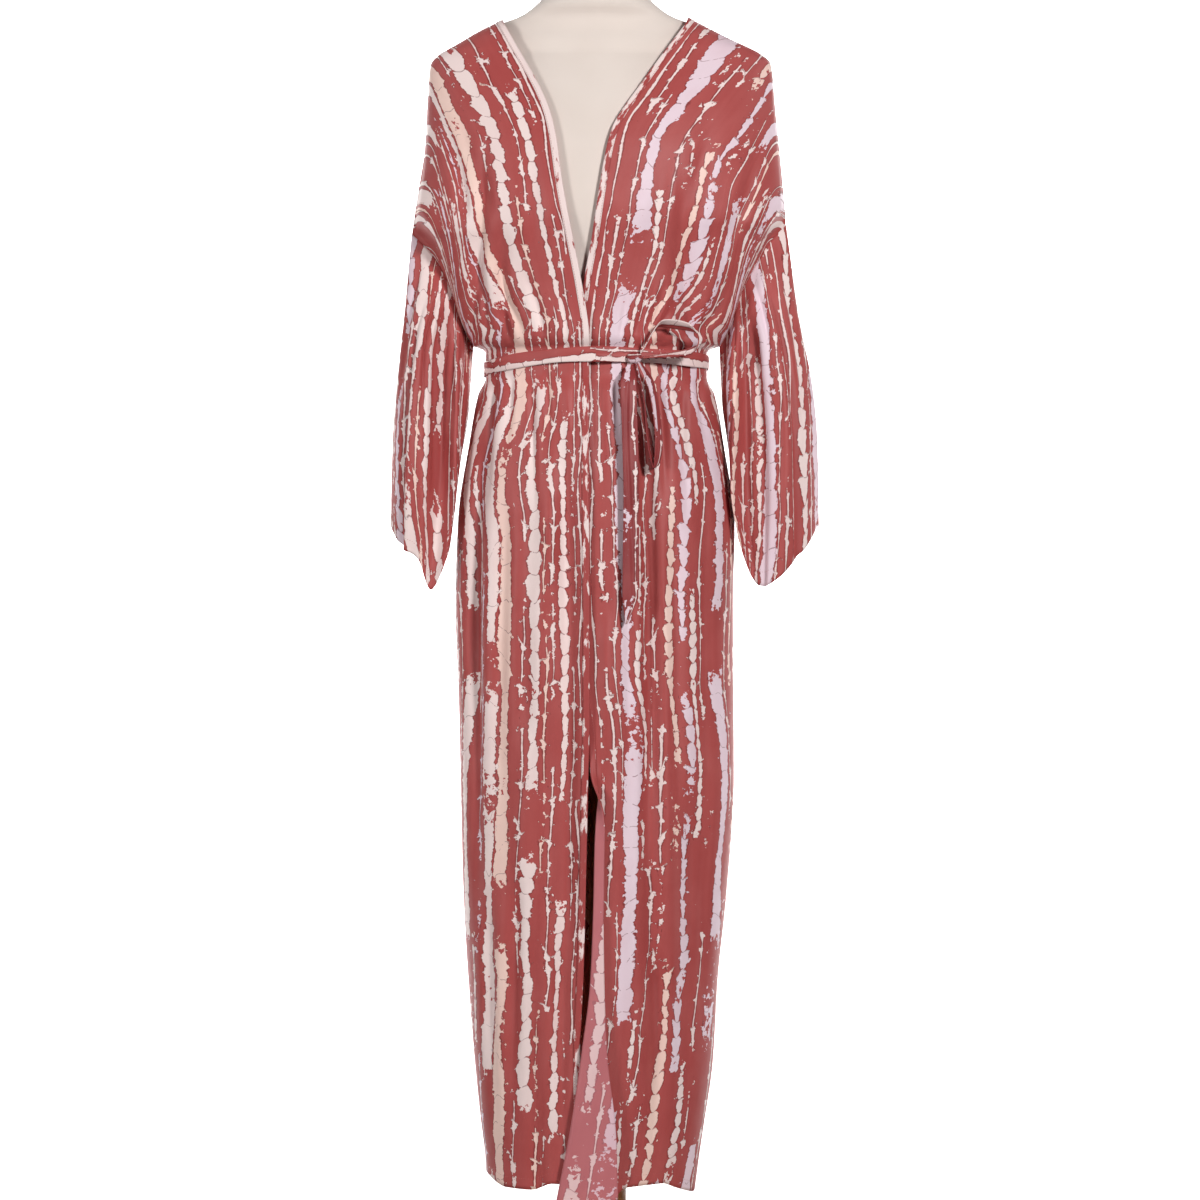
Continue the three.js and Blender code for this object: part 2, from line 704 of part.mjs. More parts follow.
function sleeveGrid(side, armhole) {
  const sign = sideSign[side];
  const grid = [];
  for (let ring = 0; ring <= SLEEVE_RINGS; ring++) {
    const down = ring / SLEEVE_RINGS;
    const line = [];
    for (let k = 0; k < armhole.length; k++) {
      const start = [sign * armhole[k].x, armhole[k].y, armhole[k].z];
      const point = [0, 1, 2].map((axis) => {
        const rows = [
          { down: 0, value: start[axis] },
          ...SLEEVES[side].map((row) => ({
            down: row.down,
            value: aroundRing(SLEEVE_LINES.map((entry) => row[entry.line][axis]), k),
          })),
        ];
        return track(rows, "down", "value", down);
      });
      line.push(new THREE.Vector3(sign * point[0], point[1], point[2]));
    }
    grid.push(line);
  }
  return grid;
}

// Normals of a grid, turned so that they point away from an inner line.
function gridNormals(grid, ring, away) {
  const rows = grid.length;
  const columns = grid[0].length;
  const normals = grid.map((line, i) =>
    line.map((point, j) => {
      const left = ring ? (j + columns - 1) % columns : Math.max(0, j - 1);
      const right = ring ? (j + 1) % columns : Math.min(columns - 1, j + 1);
      const across = grid[i][right].clone().sub(grid[i][left]);
      const down = grid[Math.min(rows - 1, i + 1)][j].clone().sub(grid[Math.max(0, i - 1)][j]);
      return across.cross(down).normalize();
    }),
  );
  const i = Math.floor(rows / 2);
  const j = Math.floor(columns * 0.6);
  if (normals[i][j].dot(away(grid[i][j])) < 0) normals.forEach((line) => line.forEach((n) => n.negate()));
  return normals;
}

// One closed wall of even thickness about a grid, by its normals.
function wallGeometry(grid, normals, wall, ring) {
  const rows = grid.length;
  const columns = grid[0].length;
  const positions = [];
  const faces = [];
  const shift = (sign) =>
    grid.forEach((line, i) =>
      line.forEach((point, j) => {
        const moved = point.clone().addScaledVector(normals[i][j], (sign * wall) / 2);
        positions.push(moved.x, moved.y, moved.z);
      }),
    );
  shift(1);
  shift(-1);
  const layer = rows * columns;
  const index = (i, j) => i * columns + (j % columns);
  const quad = (a, b, c, d) => faces.push(a, b, c, a, c, d);
  const lastColumn = ring ? columns : columns - 1;
  for (let i = 0; i + 1 < rows; i++) {
    for (let j = 0; j < lastColumn; j++) {
      quad(index(i, j), index(i, j + 1), index(i + 1, j + 1), index(i + 1, j));
      quad(
        layer + index(i, j),
        layer + index(i + 1, j),
        layer + index(i + 1, j + 1),
        layer + index(i, j + 1),
      );
    }
  }
  for (let j = 0; j < lastColumn; j++) {
    quad(index(0, j), layer + index(0, j), layer + index(0, j + 1), index(0, j + 1));
    const end = rows - 1;
    quad(index(end, j), index(end, j + 1), layer + index(end, j + 1), layer + index(end, j));
  }
  if (!ring) {
    for (let i = 0; i + 1 < rows; i++) {
      quad(index(i, 0), index(i + 1, 0), layer + index(i + 1, 0), layer + index(i, 0));
      const end = columns - 1;
      quad(index(i, end), layer + index(i, end), layer + index(i + 1, end), index(i + 1, end));
    }
  }
  return closedGeometry(positions, faces);
}

// Geometry with its faces turned out, whichever way round they were listed.
function closedGeometry(positions, faces) {
  let volume = 0;
  const at = (i) => new THREE.Vector3().fromArray(positions, 3 * i);
  for (let f = 0; f < faces.length; f += 3) {
    volume += at(faces[f]).dot(at(faces[f + 1]).cross(at(faces[f + 2])));
  }
  if (volume < 0) {
    for (let f = 0; f < faces.length; f += 3) {
      [faces[f + 1], faces[f + 2]] = [faces[f + 2], faces[f + 1]];
    }
  }
  const geometry = new THREE.BufferGeometry();
  geometry.setAttribute("position", new THREE.Float32BufferAttribute(positions, 3));
  geometry.setIndex(faces);
  geometry.computeVertexNormals();
  return geometry;
}

const fromAxis = (point) => new THREE.Vector3(point.x, point.y, 0);
const SLEEVE_MIDDLE_X = 200;
const fromSleeve = (side) => (point) =>
  new THREE.Vector3(point.x - sideSign[side] * SLEEVE_MIDDLE_X, point.y, 0);

const grids = {
  front_right: { grid: frontGrid("right"), away: fromAxis },
  front_left: { grid: frontGrid("left"), away: fromAxis },
  back: { grid: backGrid(), away: fromAxis },
};

function armholeRing(side) {
  const front = grids["front_" + side].grid;
  const back = grids.back.grid;
  const backColumn = side === "right" ? 0 : back[0].length - 1;
  const down = front.slice(0, ARMPIT_ROW + 1).map((line) => line.at(-1));
  const up = back.slice(1, ARMPIT_ROW).map((line) => line[backColumn]);
  return [...down, ...up.reverse()];
}
for (const side of ["right", "left"]) {
  grids["sleeve_" + side] = {
    grid: sleeveGrid(side, armholeRing(side)),
    away: fromSleeve(side),
    ring: true,
  };
}

// Pieces that meet at a seam share its points, and there the mean of their normals.
const seams = new Map();
const seamKey = (point) => point.toArray().map((v) => Math.round(v * 20)).join();
function seamPlaces(name, grid) {
  const end = grid[0].length - 1;
  const places = [];
  if (name.startsWith("sleeve")) {
    grid[0].forEach((_, j) => places.push({ i: 0, j, di: 1, dj: 0 }));
    return places;
  }
  grid[0].forEach((_, j) => {
    const onNeck = name === "back" && Math.abs(j - end / 2) < NECK_COLUMNS;
    if (!onNeck) places.push({ i: 0, j, di: 1, dj: 0 });
  });
  grid.forEach((_, i) => {
    places.push({ i, j: end, di: 0, dj: -1 });
    if (name === "back") places.push({ i, j: 0, di: 0, dj: 1 });
  });
  return places;
}
function seamDirection({ grid, ring }, i, j, onRow) {
  const rows = grid.length;
  const columns = grid[0].length;
  let a = grid[Math.max(0, i - 1)][j];
  let b = grid[Math.min(rows - 1, i + 1)][j];
  if (onRow) {
    a = grid[i][ring ? (j + columns - 1) % columns : Math.max(0, j - 1)];
    b = grid[i][ring ? (j + 1) % columns : Math.min(columns - 1, j + 1)];
  }
  return b.clone().sub(a).normalize();
}
for (const [name, piece] of Object.entries(grids)) {
  piece.normals = gridNormals(piece.grid, piece.ring, piece.away);
  const seen = new Set();
  for (const { i, j } of seamPlaces(name, piece.grid)) {
    const key = seamKey(piece.grid[i][j]);
    if (seen.has(key)) continue;
    seen.add(key);
    if (!seams.has(key)) seams.set(key, new THREE.Vector3());
    seams.get(key).add(piece.normals[i][j]);
  }
}
for (const [name, piece] of Object.entries(grids)) {
  const pulls = [];
  for (const { i, j, di, dj } of seamPlaces(name, piece.grid)) {
    const normal = seams.get(seamKey(piece.grid[i][j])).clone().normalize();
    piece.normals[i][j] = normal;
    const inward = piece.grid[i + di][j + dj].clone().sub(piece.grid[i][j]);
    const along = seamDirection(piece, i, j, di);
    inward.addScaledVector(normal, -inward.dot(normal));
    inward.addScaledVector(along, -inward.dot(along)).normalize();
    const onSleeve = name.startsWith("sleeve");
    const atArmpit = onSleeve && Math.abs(j - ARMPIT_ROW) < 2;
    inward.multiplyScalar(onSleeve && !atArmpit ? SEAM_GAP : SEAM_PULL);
    if (atArmpit) inward.x += Math.sign(piece.grid[i][j].x) * 2 * SEAM_GAP;
    pulls.push({ i, j, move: inward });
  }
  piece.mid = piece.grid.map((line) => line.map((point) => point.clone()));
  for (const { i, j, move } of pulls) piece.mid[i][j].add(move);
}

// Extra height of the band where it turns over the shoulder, and how much less each row down has.
const NECK_LIFT = 1.3;
const NECK_LIFT_FADE = 0.3;

// Edge band: the panels' outer points moved out, from the middle of the back neck down to the hem.
function bandGrid(side) {
  const front = grids["front_" + side];
  const back = grids.back;
  const lift = WALL / 2 + LAY_GAP + BAND_WALL / 2;
  const raised = (piece, i, j, extra = 0) =>
    piece.grid[i][j].clone().addScaledVector(piece.normals[i][j], lift + extra);
  const middle = (back.grid[0].length - 1) / 2;
  const step = side === "right" ? 1 : -1;
  const rows = [];
  for (let k = 0; k < NECK_COLUMNS; k++) {
    const line = [0, 1, 2, 3, 4].map((i) => raised(back, i, middle - step * k, NECK_LIFT));
    let i = 0;
    let left = BAND_WIDTH;
    while (line[i].distanceTo(line[i + 1]) < left) left -= line[i].distanceTo(line[++i]);
    const inner = line[i].clone().lerp(line[i + 1], left / line[i].distanceTo(line[i + 1]));
    rows.push([line[0], inner]);
  }
  rows[0].forEach((point) => (point.x -= step * SEAM_PULL));
  for (let i = 0; i <= HEM_ROW; i++) {
    const extra = Math.max(0, NECK_LIFT - NECK_LIFT_FADE * i);
    rows.push([raised(front, i, 0, extra), raised(front, i, 1, extra)]);
  }
  return rows;
}

// Belt round the waist: the body's section at the belt moved out, over the lapped front edge.
const BELT_STEPS = 72;
const BELT_TILT = { front: 1, right: -11, left: -3, back: -5 };
const BELT_HUMP = { x: -18, high: 6.6, flat: 20, fade: 24 };
function beltGrid() {
  const grid = [];
  const lift = WALL / 2 + BELT_LIFT + BELT_WALL / 2;
  for (let k = 0; k < BELT_STEPS; k++) {
    const angle = (k / BELT_STEPS) * 2 * Math.PI;
    const sine = Math.sin(angle);
    const cosine = Math.cos(angle);
    const side = sine < 0 ? "right" : "left";
    const face = cosine > 0 ? "front" : "back";
    const half = outlineX(side, BELT_Z) + lift;
    const depth = track(DEPTH, "z", face, BELT_Z) + lift;
    const x = half * sine;
    const past = Math.max(0, Math.abs(x - BELT_HUMP.x) - BELT_HUMP.flat);
    const hump = face === "front" ? BELT_HUMP.high * bell(past / BELT_HUMP.fade) : 0;
    const y = -depth * cosine - hump;
    const tilt = cosine ** 2 * BELT_TILT[face] + sine ** 2 * BELT_TILT[side];
    const z = BELT_Z + tilt;
    grid.push([
      new THREE.Vector3(x, y, z + BELT_HALF_HEIGHT),
      new THREE.Vector3(x, y, z - BELT_HALF_HEIGHT),
    ]);
  }
  return grid;
}

const transpose = (grid) => grid[0].map((_, j) => grid.map((line) => line[j]));

// A strip of belt along a path: each row gives its middle, its width and the way the width points.
function stripGrid(rows, steps) {
  const grid = [];
  for (let k = 0; k <= steps; k++) {
    const at = k / steps;
    const get = (column) => track(rows, "at", column, at);
    const middle = new THREE.Vector3(get("x"), get("y"), get("z"));
    const lean = new THREE.Vector3(get("leanX"), get("leanY"), get("leanZ")).normalize();
    const half = get("wide") / 2;
    grid.push([
      middle.clone().addScaledVector(lean, -half),
      middle.clone(),
      middle.clone().addScaledVector(lean, half),
    ]);
  }
  return grid;
}

const KNOT = { x: 45, y: -95, z: 1092, halfX: 9, halfY: 7, halfZ: 8 };

// Upper loop of the bow, out of the knot to the wearer's left, round and back into the knot.
const LOOP_UPPER = [
  { at: 0, x: 52, y: -96.6, z: 1097.4, wide: 8, leanX: 0.1, leanY: 1, leanZ: 0.2 },
  { at: 0.25, x: 77, y: -106, z: 1131, wide: 19, leanX: -0.3, leanY: 1, leanZ: -0.4 },
  { at: 0.45, x: 108, y: -101, z: 1127, wide: 20, leanX: 0.2, leanY: 1, leanZ: -0.5 },
  { at: 0.58, x: 124, y: -96, z: 1113, wide: 20, leanX: 0.5, leanY: 1, leanZ: -0.1 },
  { at: 0.7, x: 112, y: -98, z: 1100, wide: 19, leanX: 0.1, leanY: 1, leanZ: 0.5 },
  { at: 1, x: 54.9, y: -95.5, z: 1092, wide: 8, leanX: 0, leanY: 1, leanZ: 0.3 },
];
// Hanging loop below the knot.
const LOOP_LOWER = [
  { at: 0, x: 51, y: -97, z: 1086.4, wide: 8, leanX: 0.5, leanY: 1, leanZ: 0 },
  { at: 0.15, x: 64, y: -107, z: 1060, wide: 16, leanX: 0.6, leanY: 1, leanZ: 0.1 },
  { at: 0.4, x: 73, y: -109, z: 990, wide: 18, leanX: 0.5, leanY: 1, leanZ: 0 },
  { at: 0.5, x: 69, y: -110, z: 964, wide: 18, leanX: 0.3, leanY: 1, leanZ: 0.2 },
  { at: 0.6, x: 62, y: -112, z: 984, wide: 18, leanX: 0.1, leanY: 1, leanZ: 0 },
  { at: 0.85, x: 54, y: -111, z: 1050, wide: 16, leanX: 0, leanY: 1, leanZ: 0 },
  { at: 1, x: 47, y: -99, z: 1084.4, wide: 8, leanX: 0.2, leanY: 1, leanZ: 0 },
];
// Free end of the belt, cut to a point.
const TAIL = [
  { at: 0, x: 40, y: -97, z: 1084, wide: 8, leanX: 1, leanY: 0.1, leanZ: 0 },
  { at: 0.1, x: 38, y: -113, z: 1060, wide: 19, leanX: 1, leanY: 0.2, leanZ: 0 },
  { at: 0.5, x: 41, y: -121, z: 940, wide: 19, leanX: 1, leanY: 0.3, leanZ: 0 },
  { at: 0.9, x: 40, y: -120, z: 818, wide: 19, leanX: 1, leanY: 0.2, leanZ: 0 },
  { at: 1, x: 35, y: -120, z: 782, wide: 2.5, leanX: 1, leanY: 0.2, leanZ: 0 },
];

function knotGeometry() {
  const geometry = new THREE.SphereGeometry(1, 18, 12);
  geometry.scale(KNOT.halfX, KNOT.halfY, KNOT.halfZ);
  return geometry;
}

// The dress form's body: its sections joined, with flat ends.
function torsoGeometry() {
  const around = 36;
  const positions = [];
  const faces = [];
  for (const row of FORM) {
    for (let k = 0; k < around; k++) {
      const angle = (k / around) * 2 * Math.PI;
      const sine = Math.sin(angle);
      const reach = (1 - Math.abs(sine) ** row.round) ** (1 / row.round);
      const y = Math.cos(angle) > 0 ? -row.front * reach : row.back * reach;
      positions.push(row.half * sine, y, row.z);
    }
  }
  const ring = (i, k) => i * around + (k % around);
  for (let i = 0; i + 1 < FORM.length; i++) {
    for (let k = 0; k < around; k++) {
      faces.push(ring(i, k), ring(i, k + 1), ring(i + 1, k + 1));
      faces.push(ring(i, k), ring(i + 1, k + 1), ring(i + 1, k));
    }
  }
  const bottom = positions.length / 3;
  positions.push(0, 0, FORM[0].z, 0, 0, NECK_TOP_Z);
  for (let k = 0; k < around; k++) {
    faces.push(bottom, ring(0, k + 1), ring(0, k));
    faces.push(bottom + 1, ring(FORM.length - 1, k), ring(FORM.length - 1, k + 1));
  }
  return closedGeometry(positions, faces);
}

function turned(profile, sides) {
  const geometry = new THREE.LatheGeometry(profile.map(([r, z]) => new THREE.Vector2(r, z)), sides);
  geometry.rotateX(Math.PI / 2);
  return geometry;
}

const paint = (color, roughness) => new THREE.MeshStandardMaterial({ color, roughness, metalness: 0 });
const printedCloth = paint(0xb85a58, 0.5);
const paleEdge = paint(0xeed8d6, 0.55);
const jersey = paint(0xe2d6cb, 0.9);
const paleWood = paint(0xc89b69, 0.5);

const object = new THREE.Group();
object.name = "beach_kimono_on_dress_form";

function add(name, geometry, material, x = 0, y = 0, z = 0) {
  const mesh = new THREE.Mesh(geometry, material);
  mesh.name = name;
  mesh.position.set(x, y, z);
  object.add(mesh);
}

function addStrip(name, grid, wall, material, ring = false, away = fromAxis) {
  const normals = gridNormals(grid, ring, away);
  add(name, wallGeometry(grid, normals, wall, ring), material);
}

for (const [name, piece] of Object.entries(grids)) {
  add(name, wallGeometry(piece.mid, piece.normals, WALL, piece.ring), printedCloth);
}
addStrip("band_right", bandGrid("right"), BAND_WALL, paleEdge);
addStrip("band_left", bandGrid("left"), BAND_WALL, paleEdge);

addStrip("belt_waist", transpose(beltGrid()), BELT_WALL, printedCloth, true);
add("belt_knot", knotGeometry(), printedCloth, KNOT.x, KNOT.y, KNOT.z);
addStrip("belt_loop_upper", stripGrid(LOOP_UPPER, 22), BELT_WALL, printedCloth);
addStrip("belt_loop_lower", stripGrid(LOOP_LOWER, 24), BELT_WALL, printedCloth);
addStrip("belt_tail", stripGrid(TAIL, 14), BELT_WALL, printedCloth);

add("form_torso", torsoGeometry(), jersey);
add(
  "neck_cap",
  turned([[0, 0], [50, 0], [53, 4], [53, 11], [46, NECK_CAP_HEIGHT], [0, NECK_CAP_HEIGHT]], 32),
  paleWood,
  0,
  0,
  NECK_TOP_Z + SEAM_GAP,
);
const POLE_LENGTH = TORSO_BOTTOM_Z - BASE_HEIGHT - 2 * SEAM_GAP;
add(
  "pole",
  turned([[0, 0], [POLE_RADIUS, 0], [POLE_RADIUS, POLE_LENGTH], [0, POLE_LENGTH]], 32),
  paleWood,
  POLE_X,
  0,
  BASE_HEIGHT + SEAM_GAP,
);
const COLLAR_BORE = POLE_RADIUS + SEAM_GAP;
add(
  "pole_collar",
  turned(
    [
      [COLLAR_BORE, 0],
      [COLLAR_RADIUS, 0],
      [COLLAR_RADIUS, COLLAR_HEIGHT - 10],
      [COLLAR_RADIUS - 8, COLLAR_HEIGHT],
      [COLLAR_BORE, COLLAR_HEIGHT],
      [COLLAR_BORE, 0],
    ],
    32,
  ),
  paleWood,
  POLE_X,
  0,
  BASE_HEIGHT + SEAM_GAP,
);
add(
  "base",
  turned(
    [
      [0, 0],
      [BASE_RADIUS, 0],
      [BASE_RADIUS, BASE_HEIGHT - BASE_BEVEL],
      [BASE_RADIUS - BASE_BEVEL, BASE_HEIGHT],
      [0, BASE_HEIGHT],
    ],
    48,
  ),
  paleWood,
  POLE_X,
  0,
  0,
);

export default object;
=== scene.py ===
# %% [markdown]
# A beach kimono on a dress form
#
# The real thing is a long open robe of light, smooth, printed cloth. It has a back, two fronts and
# two wide sleeves set on at dropped shoulders, a narrow edge band and a belt tied in a half bow. It
# rests on a limbless form on a pole. Every piece here is a surface: a grid of points worked out from
# short tables of sizes in millimetres, then given a thin wall. The solids of the same names are the
# fixed frame, and each cloth surface runs along the middle of its solid's wall.

import bmesh
import bpy
import numpy as np
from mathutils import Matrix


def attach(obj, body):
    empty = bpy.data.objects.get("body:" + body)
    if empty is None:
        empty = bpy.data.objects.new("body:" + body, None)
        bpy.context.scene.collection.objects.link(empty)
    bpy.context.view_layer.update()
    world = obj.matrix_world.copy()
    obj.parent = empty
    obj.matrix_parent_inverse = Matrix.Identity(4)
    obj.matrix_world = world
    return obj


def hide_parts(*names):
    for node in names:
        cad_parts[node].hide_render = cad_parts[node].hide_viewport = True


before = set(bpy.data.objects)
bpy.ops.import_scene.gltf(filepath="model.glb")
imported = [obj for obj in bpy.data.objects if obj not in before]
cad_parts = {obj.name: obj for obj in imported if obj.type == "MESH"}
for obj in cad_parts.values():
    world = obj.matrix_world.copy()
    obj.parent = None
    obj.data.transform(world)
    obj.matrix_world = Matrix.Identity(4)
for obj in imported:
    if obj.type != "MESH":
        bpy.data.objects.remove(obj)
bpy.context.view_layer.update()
MM = 0.001

# %% [markdown]
# Sizes that follow a table
#
# A maker writes a garment down as a few measures at a few heights. A smooth curve through such rows
# gives every height between them. A cubic that is level at each high and low doesn't overshoot, so
# a waist stays as narrow as its row says.


# %% Tables and soft curves
def table(names, rows):
    """Rows of numbers as one array for each named column. The first column is the key."""
    return dict(zip(names.split(), np.array(rows, float).T))


def through(key, value, at):
    """Cubic through values at keys. A row's slope is the harmonic mean of those beside it, or 0."""
    at = np.clip(np.asarray(at, float), key[0], key[-1])
    width = np.diff(key).reshape(-1, *[1] * (value.ndim - 1))
    rise = np.diff(value, axis=0) / width
    product, total = rise[:-1] * rise[1:], rise[:-1] + rise[1:]
    inner = np.where(product > 0, 2 * product / np.where(product > 0, total, 1), 0)
    slope = np.concatenate([rise[:1], inner, rise[-1:]])
    i = np.clip(np.searchsorted(key, at, side="right") - 1, 0, len(key) - 2)
    t = (at - key[i]) / (key[i + 1] - key[i])
    t, w = t.reshape(t.shape + (1,) * (value.ndim - 1)), width[i]
    start = value[i] * (1 + 2 * t) + w * slope[i] * t
    end = value[i + 1] * (3 - 2 * t) + w * slope[i + 1] * (t - 1)
    return start * (1 - t) ** 2 + end * t * t


def track(rows, column, at):
    """Value of a table's column at keys."""
    return through(next(iter(rows.values())), rows[column], at)


def mix(a, b, t):
    return a + (b - a) * t


def join(*parts):
    """Arrays brought to one shape and joined along a new last axis."""
    return np.stack(np.broadcast_arrays(*parts), -1)


def run_along(points, axis=0):
    """Distance run along one axis of a line or grid of points, from 0 at its start."""
    step = np.diff(points, axis=axis, prepend=np.take(points, [0], axis))
    return np.cumsum(np.linalg.norm(step, axis=-1), axis)


def bell(x):
    return np.exp(-x * x)


def smooth(t):
    t = np.clip(t, 0, 1)
    return t * t * (3 - 2 * t)


# %% [markdown]
# The robe's sizes
#
# x is counted from the middle towards the piece's own side, z is height above the floor. The
# shoulder seam runs from the neck over the shoulder tip and down the dropped shoulder.

# %% The robe's tables
SIGN = {"right": -1, "left": 1}
ARMPIT_Z = 1112
HEM_Z = 126
BELT_Z = 1095
SHOULDER = {
    "right": [(110.7, 5, 1499), (138, 2.5, 1486.4), (165, 1, 1471), (188, 0, 1457.5), (197, 0, 1445),
              (200, 0, 1405), (203, 0, 1350), (211, 0, 1297), (219, 0, 1245)],
    "left": [(109.5, 5, 1502), (137, 2.5, 1488), (166, 1, 1474), (195, 0, 1460), (208, 0, 1447),
             (213, 0, 1395), (219, 0, 1335), (223, 0, 1293), (226, 0, 1256)],
}
OUTLINE = {
    "right": [(100, 129), (143, 131), (203, 138), (310, 148), (477, 158), (691, 163), (810, 167),
              (905, 164), (1000, 150), (1054, 140), (1074, 131), (1106, 131), (1112, 146), (1131, 157),
              (1177, 172), (1204, 184), (1230, 203), (1245, 219)],
    "left": [(100, 116), (138, 121), (179, 127), (262, 139), (363, 145), (459, 155), (600, 164),
             (810, 163), (893, 165), (1000, 151), (1054, 141), (1074, 132), (1106, 132), (1112, 147),
             (1131, 158), (1177, 174), (1204, 188), (1238, 209), (1256, 226)],
}
SILHOUETTE = {
    side: table("z x", OUTLINE[side] + [(z, x) for x, _, z in SHOULDER[side][-2::-1]]) for side in SIGN
}
OUTLINE = {side: table("z x", rows) for side, rows in OUTLINE.items()}
SHOULDER = {side: np.array(rows, float) for side, rows in SHOULDER.items()}
SEAM_STEPS = len(SHOULDER["right"]) - 1
DEPTH = table("z front back", [
    (126, 97, 98), (400, 104, 106), (600, 109, 112), (780, 113, 117), (900, 112, 114), (1000, 106, 104),
    (1054, 98, 92), (1074, 90, 82), (1106, 90, 82), (1112, 99, 92), (1150, 100, 92), (1200, 105, 92),
    (1270, 117, 98), (1330, 113, 101), (1380, 101, 97), (1420, 83, 88), (1445, 70, 74), (1457, 65, 68),
    (1471, 63, 66), (1498, 64, 66)])
ARMHOLE_BULGE = 24
EDGE = {
    "right": table("z x strip turn rise", [
        (115, 24, 8, 0, 0), (284, 26, 8, 0, 0), (381, 22, 8, 0, 0), (588, 17, 8, 0, 2.5),
        (680, 15, 8, 0, 4.4), (1000, 16, 8, 0, 4.4), (1112, 15.5, 8, 0, 4.4), (1175, 23.5, 8, 0, 4),
        (1204, 29, 8, 0, 3), (1286, 45, 8, 0, 0), (1369, 58, 8, 0, 0), (1499, 118.7, 8, 0, 0)]),
    "left": table("z x strip turn rise", [
        (108, -42, 76, 180, 6.5), (200, -25, 56, 180, 6.5), (284, -13, 35, 180, 6.5),
        (370, -3, 22, 180, 4.5), (450, 0, 18, 180, 2), (525, 1, 16, 178, 1), (558, 2.5, 15, 140, 0),
        (585, 5, 14, 80, -0.5), (612, 6.5, 14, 22, -1.6), (650, 5.5, 14, 0, -1.6),
        (720, -3, 14, 0, -1.8), (1000, -8, 14, 0, -1.8), (1112, -8, 14, 0, -1.6),
        (1179, -0.5, 14, 0, -1), (1232, 9, 14, 0, 0), (1298, 19, 14, 0, 0), (1357, 31, 14, 0, 0),
        (1417, 66, 14, 0, 0), (1502, 123.5, 14, 0, 0)]),
}
BAND_WIDTH = 8
BAND_LINES = np.linspace(0, BAND_WIDTH, 5)
RISE_REACH = 42
TURN_RADIUS = 3
HEM = {
    "right": table("x z", [(0, 128), (50, 130), (76, 121), (106, 121), (131, 133)]),
    "left": table("x z", [(-46, 110), (20, 112), (34, 126), (76, 128), (94, 121), (117, 110)]),
}
UPPER = table("s down", [(i / 11, down) for i, down in enumerate(
    [0, 0.008, 0.03, 0.075, 0.14, 0.22, 0.32, 0.44, 0.57, 0.7, 0.84, 1])])
FORM = table("z half front back round", [
    (800, 136, 80, 84, 2), (812, 146, 86, 90, 2), (850, 150, 90, 94, 2), (900, 150, 92, 96, 2),
    (1000, 138, 92, 90, 2), (1050, 124, 86, 80, 2), (1100, 116, 82, 74, 2), (1150, 124, 88, 78, 2),
    (1210, 142, 98, 84, 2), (1270, 160, 110, 90, 2), (1330, 172, 106, 93, 2), (1380, 182, 94, 88, 2),
    (1420, 188, 76, 78, 1.9), (1446, 189, 62, 64, 1.7), (1456.4, 186.5, 57, 58, 1.5),
    (1469.9, 164.4, 56, 57, 1.5), (1484.4, 137.4, 50, 57, 1.5), (1496.8, 110.1, 48, 58, 1.5),
    (1503.6, 91, 51, 58, 1.7), (1511, 79, 56, 58, 1.9), (1524, 65, 56, 57, 2), (1548, 56, 54, 54, 2),
    (1580, 52, 52, 52, 2)])
FORM_CLEARANCE = 2.2
print("shoulder seams, mm:", [round(float(np.abs(np.diff(s, axis=0)).sum())) for s in SHOULDER.values()])

# %% [markdown]
# Folds
#
# The belt gathers the cloth, so the skirt hangs in a few deep troughs and many small creases fan
# out from the waist. A cloth simulation would give other folds each time it is tuned. These are
# given one by one instead, each with its own line, width and depth: a trough is a bell-shaped dip
# across its line, and a crease also fades out at both ends.

# %% Troughs and creases
TROUGH = "z x wide deep"
TROUGHS = {
    "right": [table(TROUGH, rows) for rows in (
        [(400, 138, 8, 0), (500, 140, 8, 4), (667, 143, 9, 12), (774, 146, 10, 20), (900, 142, 10, 14),
         (1050, 126, 8, 3)],
        [(240, 31, 11, 0), (380, 35, 12, 8), (560, 34, 13, 14), (780, 33, 13, 14), (953, 36, 12, 7),
         (1064, 42, 9, 0)],
        [(110, 68, 9, 5), (320, 74, 10, 3), (520, 82, 12, 3), (1000, 84, 12, 3), (1068, 84, 8, 0)],
        [(1110, 149, 7, 3), (1140, 146, 8, 9), (1200, 140, 8, 11), (1286, 133, 9, 7), (1350, 130, 9, 0)],
        [(1106, 110, 9, 0), (1118, 110, 9, 8), (1180, 110, 9, 7), (1250, 110, 9, 0)])],
    "left": [table(TROUGH, rows) for rows in (
        [(330, 62, 10, 0), (453, 62, 11, 5), (690, 65, 12, 14), (820, 63, 11, 15), (960, 58, 9, 9),
         (1068, 60, 9, 0)],
        [(240, 122, 9, 0), (480, 125, 10, 6), (880, 126, 10, 6), (1050, 112, 8, 0)],
        [(1108, 108, 12, 4), (1125, 106, 14, 15), (1202, 101, 12, 11), (1321, 100, 8, 0)])],
    "back": [table(TROUGH, rows) for rows in (
        [(200, -112, 12, 3), (700, -118, 13, 13), (980, -108, 11, 7), (1066, -98, 9, 0)],
        [(120, -40, 13, 9), (560, -46, 14, 12), (940, -44, 11, 6), (1068, -40, 9, 0)],
        [(160, 24, 14, 4), (640, 26, 14, 11), (900, 20, 12, 8), (1068, 16, 9, 0)],
        [(120, 86, 12, 8), (600, 92, 13, 13), (960, 84, 11, 6), (1066, 78, 9, 0)],
        [(1112, -70, 12, 7), (1200, -92, 14, 9), (1360, -128, 14, 0)],
        [(1112, 64, 12, 7), (1210, 88, 14, 10), (1370, 130, 14, 0)])],
}
TROUGH_RUNOUT = 40
TROUGH_FADE = 2.2
SIDEWAYS_SHARE = 0.6
CREASE_DEPTH = 3.2
RIDGE_SHARE = 1.1
RIDGE_SPREAD = 2.2
